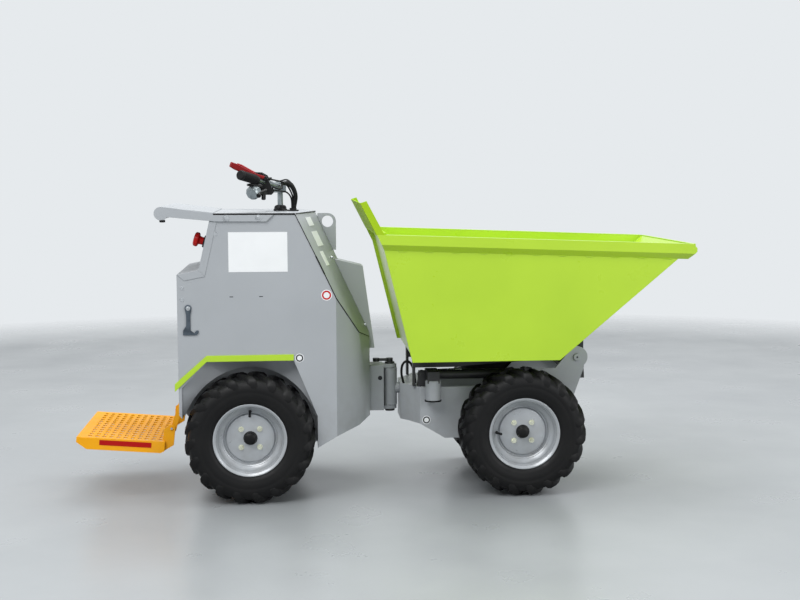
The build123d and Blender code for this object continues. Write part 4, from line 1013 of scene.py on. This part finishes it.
# ---------------------------------------------------------------------------
# Rear unit
# ---------------------------------------------------------------------------
@dataclass
class RearUnit:
    """The grey sheet-steel body with its dash, covers, rail and trim."""

    body: str = "rear_frame"
    half_width: float = 330.0
    top: float = 1115.0
    rail_half: float = 338.0
    tyre_gap: float = 262.0
    sweep: float = 0.24
    lean: float = 0.465
    film: float = 0.7
    slit: float = 0.25

    def panels(self) -> None:
        """Finishes the sheet-metal pieces."""
        dress(Coat.GREY, 1, "side_panel_right", "side_panel_left", "top_cover", "dash_panel", "rear_deck",
              "rear_panel", "front_cover")
        dress(Coat.GREY, 1.6, "nose_box")
        dress(Coat.GREY, 1, "lifting_eye")
        dress(Coat.GREY, 1.6, "rear_chassis")
        dress(Coat.GREY, 1, "wheel_arch_right", "wheel_arch_left")
        # The bracket and the axle take the darker grey: painted shade.
        dress(Coat.SHADOW_GREY, 1.2, "rear_bracket", "rear_axle")
        dress(Coat.LIME, 1, "arch_trim_right", "arch_trim_left")
        dress(Coat.PLASTIC, 2, "battery_pack")
        dress(Coat.BLACK, 1.5, "articulation_pin")

    def signs(self) -> None:
        """Lays the blank placards and the round signs on the side panels."""
        for hand, side in SIDES:
            near, out = side * self.half_width, (0, side, 0)
            board = [(-634, 891), (-411, 891), (-411, 1043), (-634, 1043)]
            Shape().side_plate(board, near, near + side * 0.8).fit(f"placard_{hand}", Coat.WHITE, self.body)
            ring_sign(f"round_sign_{hand}", (-264, near, 799), out, 21, Coat.RED, self.body)
            ring_sign(f"lashing_sign_{hand}", (-370, near, 557), out, 17, Coat.INK, self.body)

    def small_parts(self) -> None:
        """Fits the screws, rail bolts, slits, stop button, latch, collar and gland."""
        screws, bolts, slits = [], [], Shape()
        for _, side in SIDES:
            out, near = (0, side, 0), side * self.half_width
            face = near + side * self.slit
            screws += [((x, near, z), out) for x, z in ((-682, 1038), (-810, 832), (-810, 788))]
            bolts += [((x, side * self.rail_half, self.top - 18), out) for x in (-640, -519)]
            screws += [(self.on_facet(side * reach, z), self.facing(side)) for reach,
                       z in ((84, 930), (74, 655))]
            for x in (-625, -513):
                slits.side_plate([(x - 7, 795), (x + 7, 795), (x + 7, 798), (x - 7, 798)], near, face)
            for z in (1092, 1068, 934, 914):
                x = -746 + 50 * (z - 899) / 216
                slits.side_plate([(x, z), (x + 3, z), (x + 6, z + 12), (x + 3, z + 12)], near, face)
        fasten("panel_screws", Head.SCREW, Coat.STEEL, self.body, screws)
        fasten("rail_bolts", Head.RAIL_BOLT, Coat.STEEL, self.body, bolts)
        slits.fit("panel_slits", Coat.INK, self.body)
        self.stop_button()
        self.latch()
        collar = [(11.5, 0), (28, 0), (28, 6), (25, 8), (24, 16), (20, 21.5), (13, 24), (11.5, 24)]
        lathe("column_collar_domed", Coat.PLASTIC, self.body, collar, (-439, 0, self.top),
              nodes=("column_collar",))
        dress(Coat.PLASTIC, 1, "cable_gland")

    def stop_button(self) -> None:
        """Turns the mushroom button on its black base."""
        low, high = corners("stop_button")
        foot = (low + high) / 2
        dash_low, dash_high = corners("dash_panel")
        slope = Vector((dash_high.x - dash_low.x, 0, dash_high.z - dash_low.z)).normalized()
        out = Vector((-slope.z, 0, slope.x))
        start = foot - out * ((high - low).x / 2 - 4)
        base = [(0, 0), (24, 0), (24, 5), (22, 8), (0, 8)]
        lathe("stop_button_base", Coat.PLASTIC, self.body, base, start, out)
        head = [(0, 7.5), (15, 7.5), (15.5, 19), (17, 24), (24, 26), (28, 30), (28, 38),
                (26, 42.5), (20, 45.5), (10, 46.5), (0, 46.5)]
        lathe("stop_button_head", Coat.RED, self.body, head, start, out, nodes=("stop_button",))

    def rail(self) -> None:
        """Bends the grab rail: side strips, sloping top sheet, rolled nose and its rubber feet."""
        nose, radius, sheet = Vector((-882.6, 0, 1114.8)), 25.5, 4.0
        half_turn = [radians(angle) for angle in range(0, 181, 15)]
        outer, inner = ([(nose.x - r * sin(turn), nose.z + r * cos(turn)) for turn in half_turn]
                        for r in (radius, radius - sheet))
        section = [(-689, 1117.5)] + outer + inner[::-1] + [(-689, 1113.5)]
        outline = [(-463, 1108), (-688, 1108), (-689, 1115), (-740, 1120.5), (-832, 1134.5)]
        outline += outer + [(-868, 1092), (-858, 1101), (-677, 1084), (-490, 1083)]
        shape, feet = Shape().side_plate(section, 1 - self.rail_half, self.rail_half - 1), Shape()
        for _, side in SIDES:
            shape.side_plate(outline, side * (self.rail_half - 5), side * self.rail_half)
            shape.side_plate([(-690, 1084), (-690, 1108), (-470, 1108), (-490, 1083.5)],
                             side * self.half_width, side * (self.rail_half - 4))
            feet.turn([(0, 0), (9, 0), (11, 2), (11, 9), (0, 9)], (-878, side * 322, 1081), UP, 24)
        shape.fit("grab_rail_bent", Coat.GREY, self.body, ("grab_rail",), 0.8)
        feet.fit("rail_feet", Coat.PLASTIC, self.body)

    def on_facet(self, y: float, z: float) -> Vector:
        """The point of the sloping cover at a width and a height."""
        return Vector((-227.6 + self.sweep * (self.half_width - abs(y)) - self.lean * (z - 787), y, z))

    def facing(self, side: float) -> Vector:
        """The facing of one half of the sloping cover."""
        return Vector((1, side * self.sweep, self.lean)).normalized()

    def films(self) -> None:
        """Lays the blank films on the right half of the cover."""
        for index, (y, z, width, height) in enumerate(
                ((-168, 1077, 84, 34), (-177, 1010, 92, 58), (-212, 934, 54, 56))):
            edge = [self.on_facet(y + a * width / 2, z + b * height / 2)
                    for a, b in ((-1, -1), (1, -1), (1, 1), (-1, 1))]
            out = self.facing(-1)
            Shape().loft([edge, [point + out * self.film for point in edge]]).fit(
                f"cover_film_{index + 1}", Coat.WHITE, self.body)

    def shadow_gap_strips(self) -> None:
        """Runs black strips between the cover, the top and the sides: painted shadow gaps, each drawn like a
        rubber edge seal.
        """
        shape = Shape()
        for _, side in SIDES:
            for x0, x1, y in ((-688, -463, 336), (-463, -382, 332)):
                shape.side_plate([(x0, 1108.2), (x1, 1108.2), (x1, 1114.7), (x0, 1114.7)], side * 326.5,
                                 side * y)
            for thick, path in ((2.2, [(-299, 0, 1112.6), (-377, 325, 1112.6)]),
                                (1.6, [(-382, 331, 1112), (-303.5, 331, 950)]),
                                (2.8, [(-303.5, 331, 950), (-270.5, 331, 880)]),
                                (1.8,
                                 [(-270.5, 331, 880), (-227, 331, 787), (-136, 231, 643), (-90, 96, 609)])):
                shape.tube([(x, side * y, z) for x, y, z in path], thick, 8)
        shape.fit("cover_seals", Coat.PLASTIC, self.body)

    def arch_liner(self) -> None:
        """Closes the arches round the tyres with an inner flange under the lime trim."""
        axle = sum(corners("tyre_rear_right"), Vector()) / 2
        bends = ((-826, 322, 345, 4), (-820, 322, 441, 8), (-722, 266, 549, 12), (-392, 266, 549, 10),
                 (-304, 322, 331, 0))
        edge = []
        for (ax, ay, az, steps), (bx, by, bz, _) in zip(bends, bends[1:]):
            edge += [(ax + (bx - ax) * i / steps, ay + (by - ay) * i / steps, az + (bz - az) * i / steps)
                     for i in range(steps)]
        edge.append(bends[-1][:3])
        first, last = (atan2(end[2] - axle.z, end[0] - axle.x) for end in (bends[0], bends[-1]))
        shape, sheet = Shape(), 3
        for _, side in SIDES:
            rings = []
            for i, (x, y, z) in enumerate(edge):
                turn = first + (last - first) * i / (len(edge) - 1)
                inner_x, inner_z = axle.x + self.tyre_gap * cos(turn), axle.z + self.tyre_gap * sin(turn)
                depth = 306 - 76 * max(0, sin(turn)) ** 3
                rings.append([(x, side * y, z), (inner_x, side * depth, inner_z),
                              (inner_x, side * (depth - sheet), inner_z), (x, side * (y - sheet), z)])
            shape.loft(rings)
        shape.fit("arch_liners", Coat.GREY, self.body)

    def joint_bracket(self) -> None:
        """Lays black discs where the bracket has plugged holes."""
        side_discs("bracket_holes", self.body, 9, 0.8, (-43, 56, 432), 28)

    def latch(self) -> None:
        """Finishes the latch lever and its pivot bolt."""
        dress(Coat.BLUED, 1.2, "latch_lever")
        low, high = corners("latch_lever")
        fasten("latch_pivot", Head.SCREW, Coat.STEEL, self.body,
               [((low.x + 20, low.y, high.z - 13), (0, -1, 0))])

    def build(self) -> None:
        """Makes the whole rear unit."""
        self.panels()
        self.signs()
        self.small_parts()
        self.rail()
        self.films()
        # Painted shadow gaps along the cover's edges.
        self.shadow_gap_strips()
        self.arch_liner()
        self.joint_bracket()


def ring_sign(name: str, centre: Point, out: Point, radius: float, ink: Coat, body: str) -> None:
    """Lays a round white film with a coloured ring and nothing printed in it.

    Args:
        name: The piece's name.
        centre: Its centre on the panel.
        out: The panel's facing.
        radius: Its radius.
        ink: Finish of the ring.
        body: The body that it rides on.
    """
    lathe(name, Coat.WHITE, body, [(0, 0), (radius, 0), (radius, 0.6), (0, 0.6)], centre, out)
    ring = [(radius * 0.56, 0.5), (radius * 0.84, 0.5), (radius * 0.84, 1), (radius * 0.56, 1)]
    lathe(name + "_ring", ink, body, ring, centre, out)


def side_discs(name: str, body: str, radius: float, thick: float, centre: Point, steps: int) -> None:
    """Lays a thin black disc on each side, the left one at a centre and the right one opposite.

    Args:
        name: The piece's name.
        body: The body that it rides on.
        radius: The discs' radius.
        thick: Their thickness.
        centre: Centre of the left one.
        steps: Steps round each.
    """
    shape, (x, y, z) = Shape(), centre
    for _, side in SIDES:
        shape.turn([(0, 0), (radius, 0), (radius, thick), (0, thick)], (x, side * y, z), (0, side, 0), steps)
    shape.fit(name, Coat.INK, body)


# ---------------------------------------------------------------------------
# Step
# ---------------------------------------------------------------------------
@dataclass
class Step:
    """The slotted folding step with its hinge."""

    strip_height: float = 20.0

    def build(self) -> None:
        """Finishes the deck, the ears and the bracket, and lays the red strips."""
        dress(Coat.AMBER, 1, "step_deck")
        dress(Coat.AMBER, 1.2, "step_ears", "step_bracket")
        ear = corners("step_ears")[1]
        fasten("step_pivots", Head.SMALL_BOLT, Coat.STEEL, "step",
               [((-864, side * ear.y, 282), (0, side, 0)) for _, side in SIDES])
        low, high = corners("step_deck")
        slope = radians(4.8)
        foot = Vector((low.x + 86, 0, low.z + 38))
        run = Vector((cos(slope), 0, -sin(slope))) * 196.0
        rise = Vector((sin(slope), 0, cos(slope))) * self.strip_height
        outline = [(point.x, point.z) for point in (foot, foot + run, foot + run + rise, foot + rise)]
        for hand, side in SIDES:
            y = high.y * side
            Shape().side_plate(outline, y, y + side * 0.7).fit(f"step_strip_{hand}", Coat.REFLECTOR, "step")


# ---------------------------------------------------------------------------
# Steering column
# ---------------------------------------------------------------------------
@dataclass
class Column:
    """The post, the swept bar and the controls on it."""

    body: str = "steering_column"

    def controls(self, hand: str, side: float) -> None:
        """Fits one hand's lever, switch cluster and grip sleeve.

        Args:
            hand: The hand, in words.
            side: Its sign along Y.
        """
        path = [(-622, 303, 1300), (-604, 290, 1291), (-586, 275, 1282), (-550, 245, 1266),
                (-521, 218, 1256), (-494, 190, 1248)]
        path = [(x, side * y, z) for x, y, z in path]
        heights = [20, 25, 23, 16, 13, 12]
        Shape().strap(path, heights, 9).fit(f"brake_lever_{hand}", Coat.LEVER_RED, self.body,
                                            ("brake_levers",), 1.5)
        rings = [(1270, -534, -514), (1258, -537, -492), (1226, -527, -476), (1192, -514, -464),
                 (1182, -508, -470)]
        cluster = Shape().loft([[(x0, side * 140, z), (x1, side * 140, z), (x1, side * 186, z),
                                 (x0, side * 186, z)] for z, x0, x1 in rings])
        cluster.rod((-494, side * 170, 1246), (-494, side * 200, 1246), 8)
        cluster.rod((-506, side * 182, 1212), (-506, side * 190, 1212), 7)
        cluster.rod((-494, side * 150, 1240), (-474, side * 150, 1246), 5)
        cluster.fit(f"control_cluster_{hand}", Coat.PLASTIC, self.body, ("control_blocks",), 3)
        start, end = (Vector((-439 - 142 * s, side * (70 + 242 * s), 1211 + 47 * s)) for s in (0.66, 1))
        sleeve(f"grip_ribs_{hand}", Coat.GRIP, self.body, [start, end], 34.2, 7)
        out = (end - start).normalized()
        lathe(f"grip_end_{hand}", Coat.GRIP, self.body,
              [(0, -3), (18.5, -3), (19.5, 0), (19, 5), (15, 8.5), (0, 9.5)], end, out, 32)

    def horn(self) -> None:
        """Fits the horn with its bracket and the two knobs beside it."""
        cup = [(0, -22), (18, -22), (26, -14), (28, 2), (27.5, 12), (22, 20), (12, 22), (0, 22)]
        lathe("horn_housing_faceted", Coat.CAST, self.body, cup, (-538, -230, 1193), (-0.42, -0.84, -0.3), 10,
              ("horn_housing",), 1)
        bracket = Shape().strap([(-562, -232, 1221), (-540, -228, 1222), (-512, -210, 1214)],
                                [9, 13, 16], 30)
        bracket.rod((-536, -229, 1224), (-533, -230, 1246), 9)
        bracket.rod((-519, -238, 1190), (-519, -252, 1178), 9.5)
        bracket.rod((-500, -206, 1196), (-501, -219, 1165), 8.5)
        bracket.strap([(-522, -236, 1186), (-492, -196, 1196)], [18, 22], 16)
        bracket.fit("horn_bracket", Coat.PLASTIC, self.body, (), 2)

    def cables(self) -> None:
        """Runs the conduit and the cables from the controls to the gland."""
        bodies, ends = (self.body, "rear_frame"), ((-405, -58, 1222), (-385, -31, 1140))
        conduit = flowing([(-430, -82, 1226), (-412, -66, 1226), (-392, -52, 1213),
                           (-379, -40, 1182), (-383, -32, 1150), (-388, -30, 1119)], 8)
        Shape().tube(conduit, 8.5, 16).fit("cable_conduit", Coat.PLASTIC, bodies, ("cable_bundle",),
                                           ends=ends)
        runs = [
            [(-482, -160, 1244), (-454, -128, 1238), (-428, -92, 1231), (-408, -62, 1214),
             (-392, -46, 1182), (-388, -40, 1150), (-388, -37, 1120)],
            [(-466, -146, 1212), (-438, -112, 1204), (-428, -84, 1222), (-409, -64, 1234),
             (-386, -50, 1218), (-372, -40, 1176), (-380, -33, 1120)],
            [(-464, -144, 1200), (-430, -76, 1194), (-411, -56, 1189), (-395, -46, 1166),
             (-392, -36, 1120)],
            [(-466, 146, 1226), (-440, 92, 1234), (-412, 26, 1240), (-394, -18, 1224),
             (-382, -30, 1184), (-388, -26, 1120)]]
        for index, run in enumerate(runs):
            Shape().tube(flowing(run, 8), 3.2, 10).fit(f"control_cable_{index + 1}", Coat.PLASTIC, bodies,
                                                       ends=ends)

    def build(self) -> None:
        """Finishes the column's pieces."""
        dress(Coat.CAST, 2, "steering_post")
        dress(Coat.CAST, 1, "handlebar")
        dress(Coat.GRIP, 2, "grips")
        for hand, side in SIDES:
            self.controls(hand, side)
        self.horn()
        self.cables()


# ---------------------------------------------------------------------------
# Centre joint and front frame
# ---------------------------------------------------------------------------
@dataclass
class FrontUnit:
    """The centre joint, the front frame, its drive and the tipping actuator."""

    body: str = "front_frame"
    motor_foot: Point = (156.0, -238.0, 362.0)

    def build(self) -> None:
        """Finishes the pieces and fits the motor, a steel rod that paints the highlight on the actuator tube,
        the hose, the signs and black discs that paint the shade in the pin centres.
        """
        # The knuckle takes the darker grey: painted shade.
        dress(Coat.SHADOW_GREY, 2, "centre_knuckle")
        dress(Coat.BLACK, 1.2, "steering_arm")
        dress(Coat.GREY, 1.5, "front_chassis")
        dress(Coat.BLACK, 3, "front_axle")
        dress(Coat.GREY, 1.5, "tub_hinge_pin")
        dress(Coat.BLACK, 1, "tub_rest", "actuator_mount")
        # The actuator body's black is partly its dark finish and partly painted shade under the skip.
        dress(Coat.BLACK, 2, "actuator_body")
        # The motor housing takes the darker grey: painted shade.
        lathe("motor_housing", Coat.SHADOW_GREY, "actuator",
              [(0, 6), (30.6, 6), (30.6, 81), (28, 84), (0, 84)], self.motor_foot, steps=48)
        dress(Coat.STEEL, 1, "actuator_rod")
        for hand, side in SIDES:
            ring_sign(f"front_lashing_sign_{hand}", (133, side * 200, 280), (0, side, 0), 17, Coat.INK,
                      self.body)
        # Painted highlight: a thin steel rod along the bright streak on top of the actuator tube.
        Shape().rod((150, -160, 474), (280, -160, 477), 6).fit("actuator_guide", Coat.STEEL, "actuator")
        lathe("motor_cap", Coat.PLASTIC, "actuator", [(0, 0), (33, 0), (34, 2), (34, 6), (0, 6)],
              self.motor_foot)
        hose = flowing([(52, -80, 410), (43, -80, 450), (46, -80, 485), (61, -80, 502),
                        (78, -80, 496), (92, -82, 468), (100, -88, 411)], 6)
        Shape().tube(hose, 5, 12).fit("joint_hose", Coat.PLASTIC, self.body)
        # Painted shade: black discs stand for the dark holes in the ends of the hinge pin.
        side_discs("hinge_pin_centres", self.body, 3.5, 0.6, (747, 208, 524), 20)


# ---------------------------------------------------------------------------
# Skip
# ---------------------------------------------------------------------------
@dataclass
class Skip:
    """The tipping skip with its folded rim, rear guard and rails."""

    body: str = "skip"
    bead_length: int = 26
    bead_pitch: int = 104
    rim_fall: float = 0.0349

    def build(self) -> None:
        """Finishes the skip's pieces and lays the welds under its rim."""
        dress(Coat.LIME, 1.5, "tub_shell")
        dress(Coat.LIME, 1.2, "tub_rim")
        # The guard takes the darker lime: painted shade.
        dress(Coat.SHADED_GUARD_LIME, 1.2, "tub_guard")
        dress(Coat.BLACK, 2, "tub_rails")
        beads = [[(x, side * 400.5, 1030 - self.rim_fall * (x + 59) - 58)
                  for x in (start, start + self.bead_length)]
                 for _, side in SIDES for start in range(10, 1154, self.bead_pitch)]
        weld("rim_welds", Coat.LIME, self.body, beads, 5)


# ---------------------------------------------------------------------------
# Studio
# ---------------------------------------------------------------------------
@dataclass
class Studio:
    """A plain pale floor, soft light and the camera."""

    camera_place: tuple[float, float, float] = (-383.0, -5531.0, 1262.0)
    pitch: float = 5.32
    yaw: float = 7.4
    lens: float = 60.75
    shift: float = -0.0875
    reach: float = 7.0
    fade_from: float = 5.2

    def floor(self) -> None:
        """Lays a round floor that fades into the pale surroundings."""
        ring = [(self.reach * cos(2 * pi * i / 96), self.reach * sin(2 * pi * i / 96), 0.0)
                for i in range(96)]
        floor = added("floor", plain_mesh("floor", ring, (), [tuple(range(96))]))
        desk = Desk("pale_floor")
        cloud = desk.spread(desk.noise(0.9, 6.0), 0.3, 0.7)
        desk.finish(Base_Color=desk.mix(cloud, linear(164, 168, 170), linear(152, 156, 159)),
                    Roughness=desk.spread(desk.noise(2.2, 6.0), 0.3, 0.7, 0.25, 0.37))
        far = desk.get("ShaderNodeVectorMath", {0: desk.where}, "Value", operation="LENGTH")
        fade = desk.get("ShaderNodeMixShader", {
            0: desk.spread(far, self.fade_from, self.reach - 0.1), 1: desk.shader.outputs[0],
            2: desk.get("ShaderNodeBsdfTransparent", {})})
        desk.feed(desk.tree.nodes["Material Output"], {"Surface": fade})
        floor.data.materials.append(desk.material)

    def light(self) -> None:
        """Hangs the soft lamps and sets the pale surroundings."""
        for name, where, aim, size, power in (
                ("key_light", (-2.6, -4.2, 5.2), (0.0, 0.0, 0.5), 4.0, 285.0),
                ("top_light", (0.6, 1.2, 6.0), (0.0, 0.0, 0.6), 5.0, 340.0),
                ("fill_light", (4.4, -4.7, 2.5), (0.1, 0.0, 0.4), 2.2, 110.0)):
            lamp = bpy.data.lights.new(name, "AREA")
            lamp.energy, lamp.size = power, size
            holder = added(name, lamp)
            holder.location = where
            holder.rotation_euler = (Vector(aim) - Vector(where)).to_track_quat("-Z", "Y").to_euler()
        world = bpy.data.worlds.new("surroundings")
        bpy.context.scene.world = world
        world.use_nodes = True
        sky = Nodes(world.node_tree)
        path = sky.add("ShaderNodeLightPath", {}).outputs
        seen = sky.math("MAXIMUM", path["Is Camera Ray"], path["Is Glossy Ray"])
        soft = sky.tree.nodes["Background"]
        sky.feed(soft, {"Color": linear(238, 242, 245), "Strength": 0.46})
        sky.feed(sky.tree.nodes["World Output"], {"Surface": sky.get("ShaderNodeMixShader", {
            0: sky.math("MAXIMUM", seen, path["Is Transmission Ray"]), 1: soft.outputs[0],
            2: sky.get("ShaderNodeBackground", {"Color": linear(230, 234, 237), "Strength": 1.0})})})

    def camera(self) -> None:
        """Sets up the camera."""
        data = bpy.data.cameras.new("camera")
        data.lens, data.sensor_width, data.shift_x = self.lens, 36.0, self.shift
        camera = added("camera", data)
        camera.location = place(*self.camera_place)
        camera.rotation_euler = (radians(90.0 - self.pitch), 0.0, radians(-self.yaw))
        bpy.context.scene.camera = camera

    def build(self) -> None:
        """Makes the whole studio."""
        self.camera()
        self.floor()
        self.light()
        bpy.context.scene.view_settings.view_transform = "Standard"


def main() -> None:
    """Builds the machine and the studio."""
    Studio().build()
    for end, valve_angle in (("rear", 90.0), ("front", 180.0)):
        for hand, _ in SIDES:
            Wheel(end, hand, valve_angle).build()
    for unit in (RearUnit, Step, Column, FrontUnit, Skip):
        unit().build()


if __name__ == "__main__":
    main()
